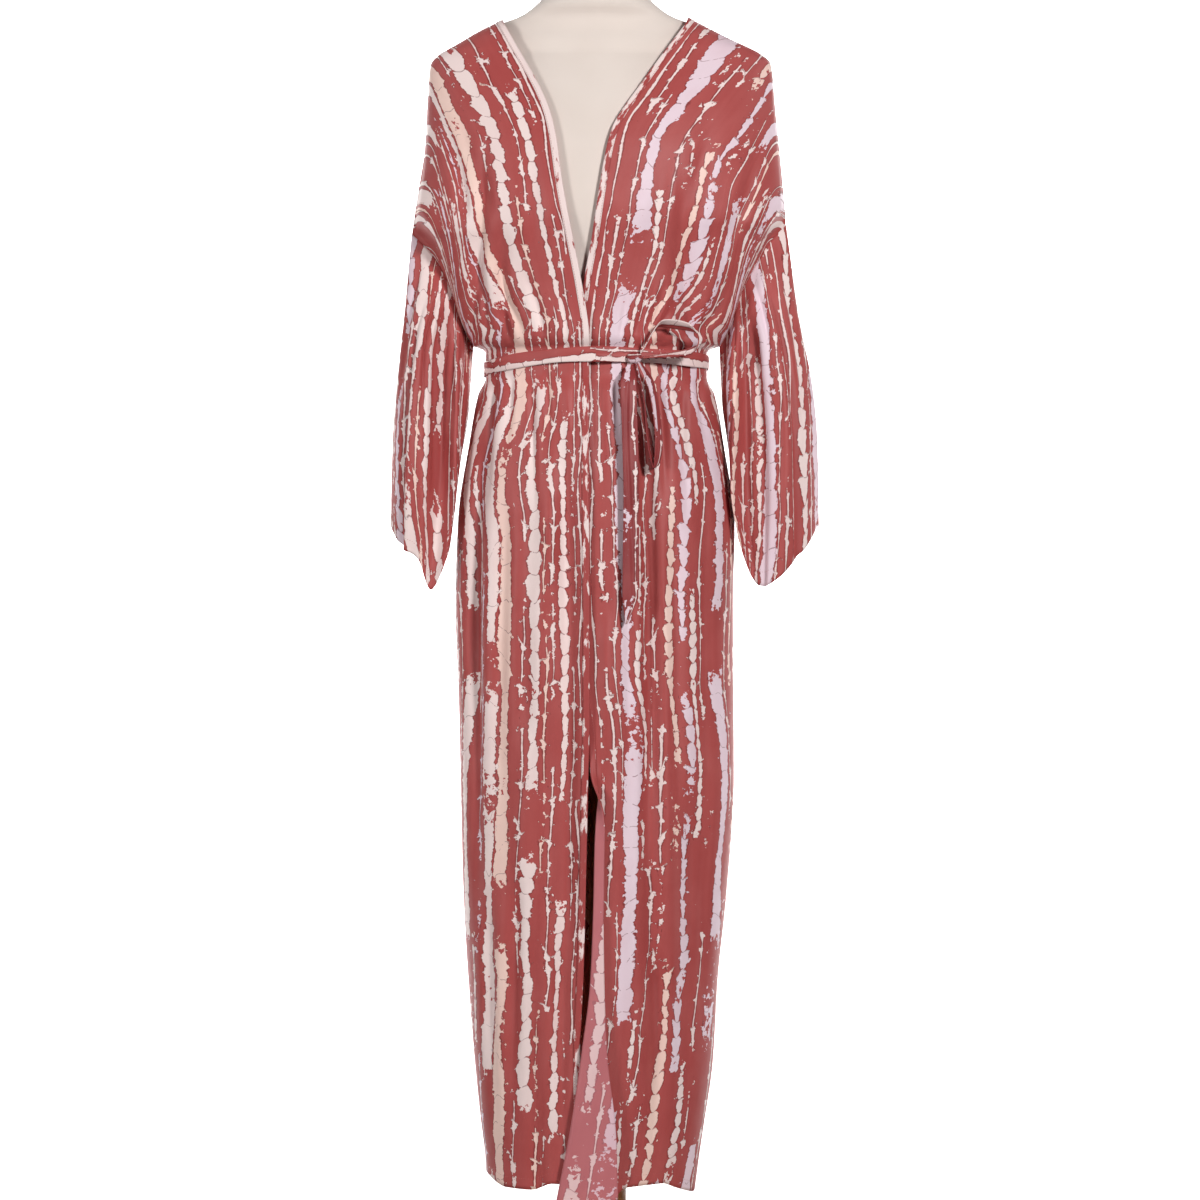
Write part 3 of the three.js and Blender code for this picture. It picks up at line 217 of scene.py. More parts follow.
CREASE_ONSET = 0.22
CREASE_FADE = 0.6
CREASE = "x z x2 z2 bow wide deep"
CREASES = {
    "front": table(CREASE, [
        (-60, 1112, -90, 1206, 4, 5, 2), (-80, 1110, -122, 1236, -6, 6, 2.8),
        (-34, 1112, -48, 1192, 3, 4, 1.5), (-97, 1108, -116, 1166, 0, 5, 2.2),
        (-128, 1112, -152, 1246, 6, 6, 2.6), (-150, 1240, -190, 1392, 8, 8, 2.8),
        (-120, 1250, -160, 1404, -8, 11, 1.8), (-70, 1210, -88, 1380, 5, 12, 1.4),
        (50, 1110, 84, 1192, 4, 4, 2.4), (56, 1109, 101, 1176, 4, 4, 2), (43, 1110, 66, 1204, 3, 4, 2),
        (62, 1107, 121, 1151, 3, 4, 1.8), (72, 1106, 140, 1131, 2, 4, 1.5),
        (28, 1112, 38, 1184, 2, 4, 1.4), (122, 1118, 152, 1214, 8, 7, 3),
        (152, 1222, 196, 1384, 8, 9, 2.6), (108, 1240, 150, 1402, -6, 12, 1.6),
        (60, 1216, 84, 1350, 4, 12, 1.2), (-118, 1082, -127, 906, 3, 5, 2.6),
        (-100, 1080, -108, 970, -2, 5, 2.4), (-74, 1080, -70, 890, 2, 5, 2.6),
        (-58, 1082, -52, 985, 0, 4, 2), (-27, 1078, -22, 958, 1, 4, 1.6), (2, 1080, 6, 925, 1, 5, 1.6),
        (22, 1080, 25, 984, 0, 4, 1.8), (72, 1080, 80, 908, -3, 5, 2.6),
        (86, 1082, 96, 990, 0, 5, 2.4), (102, 1080, 110, 872, 3, 6, 2.8),
        (120, 1080, 136, 976, 3, 5, 2.4), (-104, 960, -113, 480, 4, 10, 3.2),
        (-58, 900, -52, 300, -4, 11, 2.6), (-90, 520, -98, 132, 3, 10, 3.4),
        (92, 930, 98, 380, 4, 10, 3.2), (36, 900, 38, 420, -3, 9, 2.2),
        (70, 420, 66, 128, -3, 10, 3.2), (112, 620, 104, 124, 4, 11, 3),
        (-44, 420, -40, 128, 0, 9, 2.6), (-126, 480, -118, 132, 2, 8, 2.6),
        (-50, 980, -60, 560, 3, 13, -2.6), (46, 560, 50, 150, 2, 12, -2.4),
        (-80, 700, -84, 240, 3, 13, -2.8), (84, 860, 82, 330, -2, 12, -2.6),
        (12, 820, 14, 520, 0, 9, -1.8)]),
    "back": table(CREASE, [
        (-96, 1108, -132, 1214, 5, 6, 2.6), (-52, 1110, -64, 1226, -4, 6, 2.4),
        (-20, 1108, -24, 1186, 2, 5, 2), (10, 1108, 8, 1204, 2, 5, 2.2), (36, 1110, 44, 1186, 3, 5, 2),
        (92, 1108, 124, 1222, 5, 6, 2.6), (118, 1114, 150, 1206, 4, 6, 2.8),
        (-118, 1114, -148, 1232, 4, 6, 2.8), (-150, 1240, -188, 1394, 7, 9, 2.6),
        (150, 1240, 192, 1388, -7, 9, 2.6), (-60, 1250, -52, 1410, 4, 13, 1.8),
        (58, 1240, 62, 1420, -5, 13, 1.8), (-112, 1080, -122, 930, 3, 5, 2.6),
        (-84, 1082, -86, 962, 0, 5, 2.4), (-62, 1080, -60, 884, 3, 6, 2.8),
        (-20, 1080, -14, 940, -2, 5, 2.4), (2, 1082, 0, 990, 0, 4, 2), (40, 1080, 46, 902, 3, 6, 2.6),
        (62, 1082, 64, 974, 0, 5, 2.2), (100, 1080, 112, 918, 3, 5, 2.8),
        (-80, 900, -84, 330, 5, 12, 3.4), (-10, 880, -6, 260, -5, 12, 3.4),
        (56, 900, 60, 360, 4, 12, 3.2), (120, 760, 112, 180, 4, 11, 3),
        (-130, 640, -118, 160, 3, 10, 3), (-16, 420, -20, 122, 0, 10, 3.2),
        (-64, 860, -66, 400, 0, 13, -2.8), (72, 820, 74, 300, 2, 13, -2.8),
        (6, 780, 8, 330, 3, 12, -2.6)]),
}


def press(rows, x, z):
    """Depth of creases: a bell across each bowed line less a wider one, times a hump along it."""
    total = np.zeros(np.broadcast(x, z).shape)
    for x1, z1, x2, z2, bow, wide, deep in zip(*rows.values()):
        length = np.hypot(x2 - x1, z2 - z1)
        ux, uz = (x2 - x1) / length, (z2 - z1) / length
        along = ((x - x1) * ux + (z - z1) * uz) / length
        inside = np.clip(along, 0, 1)
        aside = (x - x1) * uz - (z - z1) * ux - bow * np.sin(np.pi * inside)
        hump = smooth(inside / CREASE_ONSET) * smooth((1 - inside) / CREASE_FADE)
        ridge = RIDGE_SHARE * bell(aside / wide / RIDGE_SPREAD)
        total += deep * hump * (CREASE_DEPTH * bell(aside / wide) - ridge)
    return total


def troughs(rows_list, x, z):
    """Depth of the large troughs at places: each row gives a trough's middle, width and depth."""
    total = np.zeros(np.broadcast(x, z).shape)
    for rows in rows_list:
        live = (z > rows["z"][0] - TROUGH_RUNOUT) & (z < rows["z"][-1] + 1)
        dip = track(rows, "deep", z) * bell((x - track(rows, "x", z)) / track(rows, "wide", z))
        total += np.where(live, dip, 0)
    return total


print("creases:", {face: len(rows["x"]) for face, rows in CREASES.items()})

# %% [markdown]
# The body of the robe
#
# Seen from above, a hanging robe is a rounded ring: flat at front and back, and tight at the side
# seams. At each height it is taken as an ellipse through the side seams. Folds press the ring in,
# the lapped front edge lifts it, and the form under it holds it out.


# %% A place on the robe's body
def outline(side, z):
    return track(OUTLINE[side], "x", z)


def seam_depth(side, z):
    """Depth of the armhole seam: half a sine wave from the armpit to the end of the shoulder seam."""
    top = OUTLINE[side]["z"][-1]
    share = np.clip((z - ARMPIT_Z) / (top - ARMPIT_Z), 0, 1)
    return ARMHOLE_BULGE * np.sin(np.pi * share)


def form_depth(x, z, face):
    """Half depth of the dress form: its section is a superellipse, and 0 outside it."""
    power = track(FORM, "round", z)
    share = np.clip(np.abs(x) / track(FORM, "half", z), 0, 1)
    depth = track(FORM, face, z) * (1 - share**power) ** (1 / power)
    return np.where((z > FORM["z"][0] - 12) & (z < FORM["z"][-1]), depth, 0)


def body_point(side, face, x, z, out=0.0):
    """Points (x, y, z) of the body: an ellipse through the side seams, moved along its normal."""
    half = track(SILHOUETTE[side], "x", z)
    start = seam_depth(side, z)
    reach = track(DEPTH, face, z) - start
    share = np.minimum(1, np.abs(x) / half)
    arc = np.sqrt(1 - share * share)
    nx, ny = x / half**2, arc / reach
    size = np.hypot(nx, ny)
    nx, ny = nx / size, ny / size
    true_x = SIGN[side] * x
    if face == "back":
        pressed = troughs(TROUGHS["back"], true_x, z)
    else:
        pressed = troughs(TROUGHS["right"], -true_x, z) + troughs(TROUGHS["left"], true_x, z)
    pressed = pressed + press(CREASES[face], true_x, z)
    move = out - pressed * np.minimum(1, arc * TROUGH_FADE)
    depth = start + reach * arc + move * ny
    placed = x + move * nx * SIDEWAYS_SHARE
    body = form_depth(placed, z, face)
    held = np.maximum(depth, body + FORM_CLEARANCE + np.maximum(0, out))
    depth = np.where(body > 0, held, depth)
    return join(SIGN[side] * placed, -depth if face == "front" else depth, z)


def seam_place(side, share):
    """Place (x, y, z) on the shoulder seam at a share of its steps."""
    return through(np.linspace(0, 1, SEAM_STEPS + 1), SHOULDER[side], share)


# %% [markdown]
# Fronts and back
#
# A front is cut with its grain along the front edge. Its grid has a row for each height and a
# column for each line down the cloth, so columns run the way the threads do. The first columns are
# the edge strip, which near the hem of the wearer's left front turns right over and shows the wrong
# side of the cloth. The back meets the fronts at the shoulder and side seams.

# %% Grids of the fronts and the back
UPPER_ROWS = 88
LOWER_ROWS = 236
FRONT_COLUMNS = 84
BACK_COLUMNS = 62
NECK_STEPS = 4
NECK_ROWS = [(0, 71, 1481), (62, 64, 1486), (100, 43, 1494), (108, 24, 1498)]
NECK_CURVE = {side: np.array([*NECK_ROWS, SHOULDER[side][0]], float) for side in SIGN}
GATHER_SHARE = 0.3
GATHER_REACH = 80
ARMHOLE_REACH = 0.09
CLOTH_TOP = 1500
s_rows = np.linspace(0, 1, UPPER_ROWS)[:, None]
down_rows = np.linspace(0, 1, LOWER_ROWS + 1)[1:, None]


def lower_height(side, x, down):
    return mix(ARMPIT_Z, track(HEM[side], "z", x), down)


def arm_bow(side):
    """How far the armhole seam lies out from a straight line between its ends, at each upper row."""
    tip_x, _, tip_z = SHOULDER[side][-1]
    return outline(side, mix(tip_z, ARMPIT_Z, s_rows)) - mix(tip_x, outline(side, ARMPIT_Z), s_rows)


def gathered(reach, z):
    """Distance across the cloth: longer than across the surface where the belt gathers it."""
    return reach * (1 + GATHER_SHARE * bell((z - BELT_Z) / GATHER_REACH))


def front_places(side):
    """x and z of a front's grid. Above the armpit rows run from seam to armpit, below to the hem."""
    across = np.linspace(0, 1, FRONT_COLUMNS)[None, :]
    bend = np.sin(across * np.pi / 2)
    neck_x, next_x = SHOULDER[side][:2, 0]
    column = 1 / SEAM_STEPS
    edge_top = EDGE[side]["x"][-1]
    first = (edge_top - neck_x) / (next_x - neck_x) * column
    along = np.where(across < column, mix(first, column, across / column), across)
    top = seam_place(side, along)
    fast = track(UPPER, "down", s_rows)
    share = mix(fast, s_rows, across**2)
    z_up = mix(top[..., 2], ARMPIT_Z, share)
    waist_edge = track(EDGE[side], "x", ARMPIT_Z)
    waist_x = mix(waist_edge, outline(side, ARMPIT_Z), bend)
    edge_z = mix(SHOULDER[side][0, 2], ARMPIT_Z, fast)
    edge_bow = track(EDGE[side], "x", edge_z) - mix(edge_top, waist_edge, fast)
    x_up = mix(top[..., 0], waist_x, share) + edge_bow * (1 - across) ** 2 + arm_bow(side) * across**3
    level = mix(ARMPIT_Z, HEM_Z, down_rows)
    x_level = mix(track(EDGE[side], "x", level), outline(side, level), bend)
    z_low = lower_height(side, x_level, down_rows)
    x_low = mix(track(EDGE[side], "x", z_low), outline(side, z_low), bend)
    return np.vstack([x_up, x_low]), np.vstack([z_up, z_low]), top


def on_seam(points, seam):
    """Brings the first rows of a grid back to the shoulder seam's own depth."""
    near = 1 - smooth(s_rows / 0.04)
    points[:UPPER_ROWS, :, 1] = mix(points[:UPPER_ROWS, :, 1], seam, near)


def on_armhole(points, side, across, way):
    """Brings the last columns of a grid to the armhole seam's own depth."""
    near = smooth(1 - (1 - across) / ARMHOLE_REACH) * (points[..., 2] > ARMPIT_Z)
    points[..., 1] = mix(points[..., 1], way * seam_depth(side, points[..., 2]), near)


def turned_strip(side, line_x, line_z, beyond):
    """Edge strip beyond its fold line: flat, or rolled round a small radius and laid back."""
    edge = {name: track(EDGE[side], name, line_z) for name in ("strip", "turn", "rise")}
    turn = np.radians(edge["turn"])
    radius = np.clip((edge["strip"] - BAND_WIDTH - 1) / np.pi, 0.5, TURN_RADIUS)
    angle = np.minimum(turn, beyond / radius)
    straight = np.maximum(0, beyond - radius * turn)
    x = line_x - radius * np.sin(angle) - straight * np.cos(turn)
    out = radius * (1 - np.cos(angle)) + straight * np.sin(turn)
    z = line_z + 0 * x
    laid = lower_height(side, x[UPPER_ROWS:], down_rows)
    z[UPPER_ROWS:] = mix(z[UPPER_ROWS:], laid, (turn / np.pi)[UPPER_ROWS:])
    (neck_x, _, neck_z), (next_x, _, next_z) = SHOULDER[side][:2]
    slope = (next_z - neck_z) / (next_x - neck_x)
    z[:UPPER_ROWS] -= slope * beyond[:UPPER_ROWS] * (1 - smooth(s_rows / 0.15))
    points = body_point(side, "front", x, z, edge["rise"] + out)
    on_seam(points, SHOULDER[side][0, 1])
    return points


def front_grid(side):
    """Points and cloth coordinates of a front: its edge strip's columns, then the panel's."""
    x, z, top = front_places(side)
    edge_x, rise = track(EDGE[side], "x", z), track(EDGE[side], "rise", z)
    panel = body_point(side, "front", x, z, rise * bell(np.maximum(0, x - edge_x) / RISE_REACH))
    on_armhole(panel, side, np.linspace(0, 1, FRONT_COLUMNS)[None, :], -1)
    on_seam(panel, top[..., 1])
    strip = track(EDGE[side], "strip", z[:, :1])
    band = strip - BAND_LINES
    rest = mix(strip - BAND_WIDTH, 0, np.linspace(0, 1, 22)[1:-1])
    beyond = np.hstack([band, rest]) if side == "left" else band[:, :-1]
    points = np.concatenate([turned_strip(side, x[:, :1], z[:, :1], beyond), panel], 1)
    reach = gathered(run_along(panel, 1), z)
    return points, join(np.hstack([-beyond, reach]), CLOTH_TOP - points[..., 2])


def back_half(side):
    """Points of half the back, from the middle to the side seam."""
    a = np.linspace(0, 1, BACK_COLUMNS)[None, :]
    step = a * (NECK_STEPS + SEAM_STEPS)
    seam_share = np.clip((step - NECK_STEPS) / SEAM_STEPS, 0, 1)
    on_neck = (step < NECK_STEPS)[..., None]
    neck = through(np.arange(NECK_STEPS + 1.0), NECK_CURVE[side], step)
    top = np.where(on_neck, neck, seam_place(side, seam_share))
    bend = np.sin(a * np.pi / 2)
    share = mix(track(UPPER, "down", s_rows), s_rows, seam_share**2)
    x_up = mix(top[..., 0], outline(side, ARMPIT_Z) * bend, share) + arm_bow(side) * a**4
    z_up = mix(top[..., 2], ARMPIT_Z, share)
    z_low = mix(ARMPIT_Z, HEM[side]["z"][-1], down_rows) + 0 * a
    x_low = outline(side, z_low) * bend
    points = body_point(side, "back", np.vstack([x_up, x_low]), np.vstack([z_up, z_low]))
    on_armhole(points, side, a, 1)
    on_seam(points, top[..., 1])
    return points


def back_grid():
    points = np.concatenate([back_half("right")[:, :0:-1], back_half("left")], 1)
    reach = run_along(points, 1)
    reach = gathered(reach - reach[:, BACK_COLUMNS - 1 : BACK_COLUMNS], points[..., 2])
    return points, join(reach, CLOTH_TOP - points[..., 2])


grids = {"front_right": front_grid("right"), "front_left": front_grid("left"), "back": back_grid()}
print("grids:", {name: points.shape[:2] for name, (points, _) in grids.items()})

# %% [markdown]
# Sleeves
#
# A sleeve is one wide tube, sewn round the armhole and open at the cuff. Its grid goes round the
# tube by lines, such as the outer edge, the ridge of the drape and the trough beside it, and down it
# in rings. The first ring is the armhole seam itself, taken from the two panels.

# %% Grids of the sleeves
RING = 22
LINES = {"outer": 0, "ridge": 2.5, "drape": 5, "trough": 7, "inner": 8.7, "under": 11, "backInner": 13.5,
         "backRidge": 18}
SLEEVES = {
    "left": {
        0.35: [(243, 0, 1131), (227, -37, 1120), (202, -50, 1103), (178, -26, 1085), (160, -43, 1068),
               (150, 0, 1050), (161, 32, 1052), (206, 41, 1095)],
        0.7: [(260, 0, 1005), (241, -42, 988), (210, -54, 962), (180, -28, 950), (159, -52, 945),
              (166, 2, 950), (178, 36, 945), (221, 43, 968)],
        1.0: [(263, 0, 898), (243, -36, 866), (205, -48, 829), (186, -32, 834), (168, -46, 880),
              (172, 2, 893), (185, 34, 862), (226, 37, 850)],
    },
    "right": {
        0.35: [(230, 0, 1124), (216, -39, 1113), (198, -48, 1098), (180, -24, 1080), (164, -44, 1064),
               (151, 0, 1046), (161, 30, 1050), (199, 40, 1088)],
        0.7: [(241, 0, 1003), (226, -43, 988), (203, -52, 965), (183, -32, 950), (165, -50, 944),
              (166, 2, 948), (176, 36, 944), (209, 42, 965)],
        1.0: [(244, 0, 899), (229, -36, 873), (209, -46, 857), (194, -40, 822), (174, -45, 864),
              (172, 2, 901), (183, 32, 868), (213, 36, 860)],
    },
}
SLEEVE_CREASE = "turn down turn2 down2 wide deep"
SLEEVE_CREASES = {
    "left": table(SLEEVE_CREASE, [
        (0.06, 0.02, 0.09, 0.80, 0.016, 2.2), (0.15, 0.05, 0.13, 0.95, 0.018, 3),
        (0.20, 0, 0.24, 0.60, 0.014, 2.6), (0.28, 0.1, 0.26, 0.98, 0.016, 2.8),
        (0.37, 0, 0.41, 0.75, 0.016, 2.6), (0.46, 0.05, 0.44, 0.7, 0.014, 2.2),
        (0.58, 0, 0.62, 0.8, 0.018, 2.8), (0.70, 0.1, 0.68, 0.98, 0.02, 3.2),
        (0.80, 0, 0.84, 0.7, 0.018, 2.6), (0.92, 0.05, 0.90, 0.9, 0.018, 2.4),
        (0.02, 0.3, 0, 1, 0.02, -1.8), (0.175, 0.4, 0.19, 1, 0.02, -2.2),
        (0.75, 0.35, 0.76, 1, 0.022, -2.2)]),
    "right": table(SLEEVE_CREASE, [
        (0.05, 0, 0.08, 0.70, 0.016, 2.4), (0.13, 0.1, 0.11, 0.98, 0.018, 2.8),
        (0.19, 0, 0.22, 0.75, 0.016, 3), (0.26, 0.05, 0.285, 0.9, 0.014, 2.6),
        (0.35, 0, 0.38, 0.6, 0.016, 2.6), (0.45, 0.1, 0.42, 0.85, 0.016, 2.4),
        (0.57, 0.05, 0.6, 0.9, 0.018, 2.8), (0.68, 0, 0.71, 0.75, 0.02, 3),
        (0.79, 0.15, 0.77, 0.98, 0.018, 2.6), (0.90, 0, 0.93, 0.8, 0.018, 2.4),
        (0.16, 0.35, 0.15, 1, 0.022, -2.4), (0.64, 0.3, 0.65, 1, 0.022, -2.2)]),
}
RING_COLUMNS = 132
SLEEVE_ROWS = 104
SLEEVE_CREASE_DEPTH = 2.3
SLEEVE_RIDGE_SHARE = 0.7
SLEEVE_SEAM_ALONG = 255


def around(values, at):
    """Closed cubic round a sleeve: the slope at a line is that between the lines beside it."""
    place = np.array(list(LINES.values()))
    place = np.concatenate([place[-2:] - RING, place, place[:3] + RING])
    value = np.concatenate([values[-2:], values, values[:3]])
    slope = (value[2:] - value[:-2]) / (place[2:] - place[:-2])[:, None]
    i = np.searchsorted(place, at, side="right") - 1
    width = (place[i + 1] - place[i])[:, None]
    t = (at - place[i])[:, None] / width
    start = value[i] * (1 + 2 * t) + width * slope[i - 1] * t
    end = value[i + 1] * (3 - 2 * t) + width * slope[i] * (t - 1)
    return start * (1 - t) ** 2 + end * t * t


def normals_of(points, ring=False, away=(0, 0)):
    """Normals of a grid: across times down, turned away from an upright axis."""
    wide = np.gradient(points, axis=1)
    if ring:
        wide = np.roll(points, -1, 1) - np.roll(points, 1, 1)
    normal = np.cross(wide, np.gradient(points, axis=0))
    normal /= np.maximum(np.linalg.norm(normal, axis=2, keepdims=True), 1e-9)
    outward = ((points[..., :2] - np.array(away)) * normal[..., :2]).sum()
    return normal if outward > 0 else -normal


def sleeve_grid(side):
    """Points of a sleeve: rings from the armhole seam through the tables' rings, then its creases."""
    at = (np.arange(RING_COLUMNS) * RING / RING_COLUMNS + LINES["under"]) % RING
    s = np.where(at < RING / 2, at, RING - at) / (RING / 2)
    tip_z = SHOULDER[side][-1, 2]
    z = mix(tip_z, ARMPIT_Z, s)
    y = seam_depth(side, z) * np.where(at < RING / 2, -1, 1)
    rings = [join(outline(side, z), y, z)]
    rings += [around(np.array(ring, float), at) for ring in SLEEVES[side].values()]
    down = np.linspace(0, 1, SLEEVE_ROWS)
    points = through(np.array([0, *SLEEVES[side]]), np.stack(rings), down)
    points[..., 0] *= SIGN[side]
    normal = normals_of(points, ring=True, away=(SIGN[side] * 200, 0))
    turn, down = at[None, :] / RING, down[:, None]
    dip = np.zeros(points.shape[:2])
    for t1, d1, t2, d2, wide, deep in zip(*SLEEVE_CREASES[side].values()):
        share = np.clip((down - d1) / (d2 - d1), 0, 1)
        ends = 0.25 if d2 > 0.94 else 1.0
        hump = smooth(share / 0.3) * mix(1, smooth((1 - share) / 0.6), ends)
        aside = (turn - mix(t1, t2, share) + 0.5) % 1 - 0.5
        ridge = SLEEVE_RIDGE_SHARE * bell(aside / wide / RIDGE_SPREAD)
        dip += deep * hump * (SLEEVE_CREASE_DEPTH * bell(aside / wide) - ridge)
    points = points - normal * dip[..., None]
    closed = np.concatenate([points, points[:, :1]], 1)
    reach = run_along(closed, 1)
    size = reach[:, -1:]
    length = run_along(closed).mean(1, keepdims=True)
    return points, join(reach / size * size.mean(), SLEEVE_SEAM_ALONG + length)


for side in SIGN:
    grids["sleeve_" + side] = sleeve_grid(side)
print("cuff round, mm:", round(float(grids["sleeve_left"][1][-1, -1, 0])))

# %% [markdown]
# Materials that can be written as formulas
#
# A print is a drawing on the cloth, so it reads the piece's own cloth coordinates: how far across
# the threads and how far along them, in millimetres. Math nodes can hold such a drawing. To keep
# it readable, a small class lets Python's own signs build the nodes.


# %% Formulas as nodes
class Wire:
    """A number in a node tree. Arithmetic on it adds math nodes."""

    def __init__(self, tree, socket):
        self.tree, self.socket = tree, socket

    def math(self, operation, *others, clamp=False):
        node = self.tree.nodes.new("ShaderNodeMath")
        node.operation, node.use_clamp = operation, clamp
        for slot, item in enumerate((self, *others)):
            if isinstance(item, Wire):
                self.tree.links.new(item.socket, node.inputs[slot])
            else:
                node.inputs[slot].default_value = item
        return Wire(self.tree, node.outputs[0])

    def __add__(self, other):
        return self.math("ADD", other)

    def __sub__(self, other):
        return self.math("SUBTRACT", other)

    def __mul__(self, other):
        return self.math("MULTIPLY", other)

    def __truediv__(self, other):
        return self.math("DIVIDE", other)

    def clamped(self):
        return self.math("ADD", 0.0, clamp=True)

    def peak(self, reach):
        """1 where the number is 0, falling evenly to 0 where its size is the reach."""
        return (self.math("ABSOLUTE") / reach * -1.0 + 1.0).clamped()


def srgb(red, green, blue):
    """A screen colour, 0 to 255, as the linear colour that shaders use."""
    c = np.array([red, green, blue]) / 255
    linear = np.where(c <= 0.04045, c / 12.92, ((c + 0.055) / 1.055) ** 2.4)
    return (*(float(v) for v in linear), 1.0)


def noise(tree, coordinates, scale, detail=2.0, roughness=0.5):
    node = tree.nodes.new("ShaderNodeTexNoise")
    node.inputs["Scale"].default_value = scale
    node.inputs["Detail"].default_value = detail
    node.inputs["Roughness"].default_value = roughness
    tree.links.new(coordinates, node.inputs["Vector"])
    return Wire(tree, node.outputs[0])


def place(tree, x, y, z=0.0):
    node = tree.nodes.new("ShaderNodeCombineXYZ")
    for slot, item in enumerate((x, y, z)):
        if isinstance(item, Wire):
            tree.links.new(item.socket, node.inputs[slot])
        else:
            node.inputs[slot].default_value = item
    return node.outputs[0]


def blend_colour(tree, factor, under, over):
    node = tree.nodes.new("ShaderNodeMix")
    node.data_type = "RGBA"
    for slot, item in ((0, factor), (6, under), (7, over)):
        if isinstance(item, Wire):
            item = item.socket
        if isinstance(item, bpy.types.NodeSocket):
            tree.links.new(item, node.inputs[slot])
        else:
            node.inputs[slot].default_value = item
    return node.outputs[2]


def bump(tree, height, strength, distance, under=None):
    node = tree.nodes.new("ShaderNodeBump")
    node.inputs["Strength"].default_value = strength
    node.inputs["Distance"].default_value = distance
    tree.links.new(height.socket, node.inputs["Height"])
    if under is not None:
        tree.links.new(under, node.inputs["Normal"])
    return node.outputs[0]


def new_material(name, **sockets):
    """A material with one shader, whose plain numbers sit on its own sockets."""
    material = bpy.data.materials.new(name)
    material.use_nodes = True
    shader = material.node_tree.nodes["Principled BSDF"]
    for socket, value in sockets.items():
        shader.inputs[socket.replace("_", " ")].default_value = value
    return material, material.node_tree, shader


def split_place(tree, socket):
    """The three parts of a place as wires."""
    node = tree.nodes.new("ShaderNodeSeparateXYZ")
    tree.links.new(socket, node.inputs[0])
    return [Wire(tree, part) for part in node.outputs]


def object_place(tree):
    return tree.nodes.new("ShaderNodeTexCoord").outputs["Object"]


def cloth_place(tree):
    """Millimetres across and along the threads, from the piece's cloth coordinates."""
    uv = tree.nodes.new("ShaderNodeUVMap")
    uv.uv_map = "cloth"
    across, along, _ = split_place(tree, uv.outputs[0])
    return across * 1000.0, along * 1000.0


# %% [markdown]
# The resist-dyed print
#
# Bound and folded cloth leaves pale columns down the grain where the dye didn't reach: rows of
# beads, cups and blocks with ragged edges, thin lines with thorns, and bare stretches of red. Each
# column here is one copy of the same small formula with its own numbers: where it lies, how wide
# and long its beads are, how far they are pinched, and how often it breaks off.

# %% One column of the print
COLUMN_INPUTS = "across along wander rough centre width pitch cup core gaps thorn seed".split()


def column_group():
    """Half width = core + (1 - core) * profile, where the profile is a round bead or a tapering cup.

    Slow waves along the cloth break the column off. One more makes the hips paler and the hem redder.
    """
    tree = bpy.data.node_groups.new("print column", "ShaderNodeTree")
    for name in COLUMN_INPUTS:
        tree.interface.new_socket(name=name, in_out="INPUT", socket_type="NodeSocketFloat")
    for name in ("pale", "line"):
        tree.interface.new_socket(name=name, in_out="OUTPUT", socket_type="NodeSocketFloat")
    entry, leave = tree.nodes.new("NodeGroupInput"), tree.nodes.new("NodeGroupOutput")
    v = {name: Wire(tree, entry.outputs[name]) for name in COLUMN_INPUTS}
    phase = v["along"] / v["pitch"] + v["seed"] * 3.0 + v["wander"] * 2.5
    bead_at = phase.math("FRACT")
    middle = bead_at * 2.0 - 1.0
    bead = (middle * middle * -1.0 + 1.0).math("MAXIMUM", 0.0).math("SQRT")
    cup = bead_at * -1.0 + 1.0
    profile = bead + (cup - bead) * v["cup"]
    pinch = v["core"] + (v["core"] * -1.0 + 1.0) * profile
    ragged = (v["rough"] - 0.5) * (v["width"] * 0.55 + 2.0)
    chance = ((v["rough"] - 0.38) * 4.0).clamped()
    thorn = (v["rough"] - 0.6).math("MAXIMUM", 0.0) * 40.0 + cup.math("POWER", 6.0) * v["thorn"] * chance
    slow = (v["along"] * 0.021 + v["seed"] * 41.0).math("SINE") * 0.28 + 0.9
    half = v["width"] * 0.5 * pinch * slow + ragged * pinch + thorn
    aside = (v["across"] - v["centre"] - v["wander"] * 22.0).math("ABSOLUTE")
    inside = ((half - aside) / 0.6 + 0.5).clamped()
    wave = (v["along"] * 0.013 + v["seed"] * 23.47).math("SINE")
    wave = wave + (v["along"] * 0.034 + v["seed"] * 29.0).math("SINE") * 0.7
    drift = ((v["along"] - 200.0).math("MAXIMUM", 0.0) * 0.0045).math("SINE") * 0.5
    present = ((wave + drift + v["rough"] * 2.2 + 0.6 - v["gaps"] * 3.4) * 30.0).clamped()
    rim = (aside - half - 0.6).peak(1.0)
    tick = (bead_at * v["pitch"] - 0.6).peak(0.7)
    pale = inside * present
    line = (rim * present).math("MAXIMUM", tick * pale * v["rough"].math("GREATER_THAN", 0.47))
    tree.links.new(pale.socket, leave.inputs["pale"])
    tree.links.new(line.socket, leave.inputs["line"])
    return tree


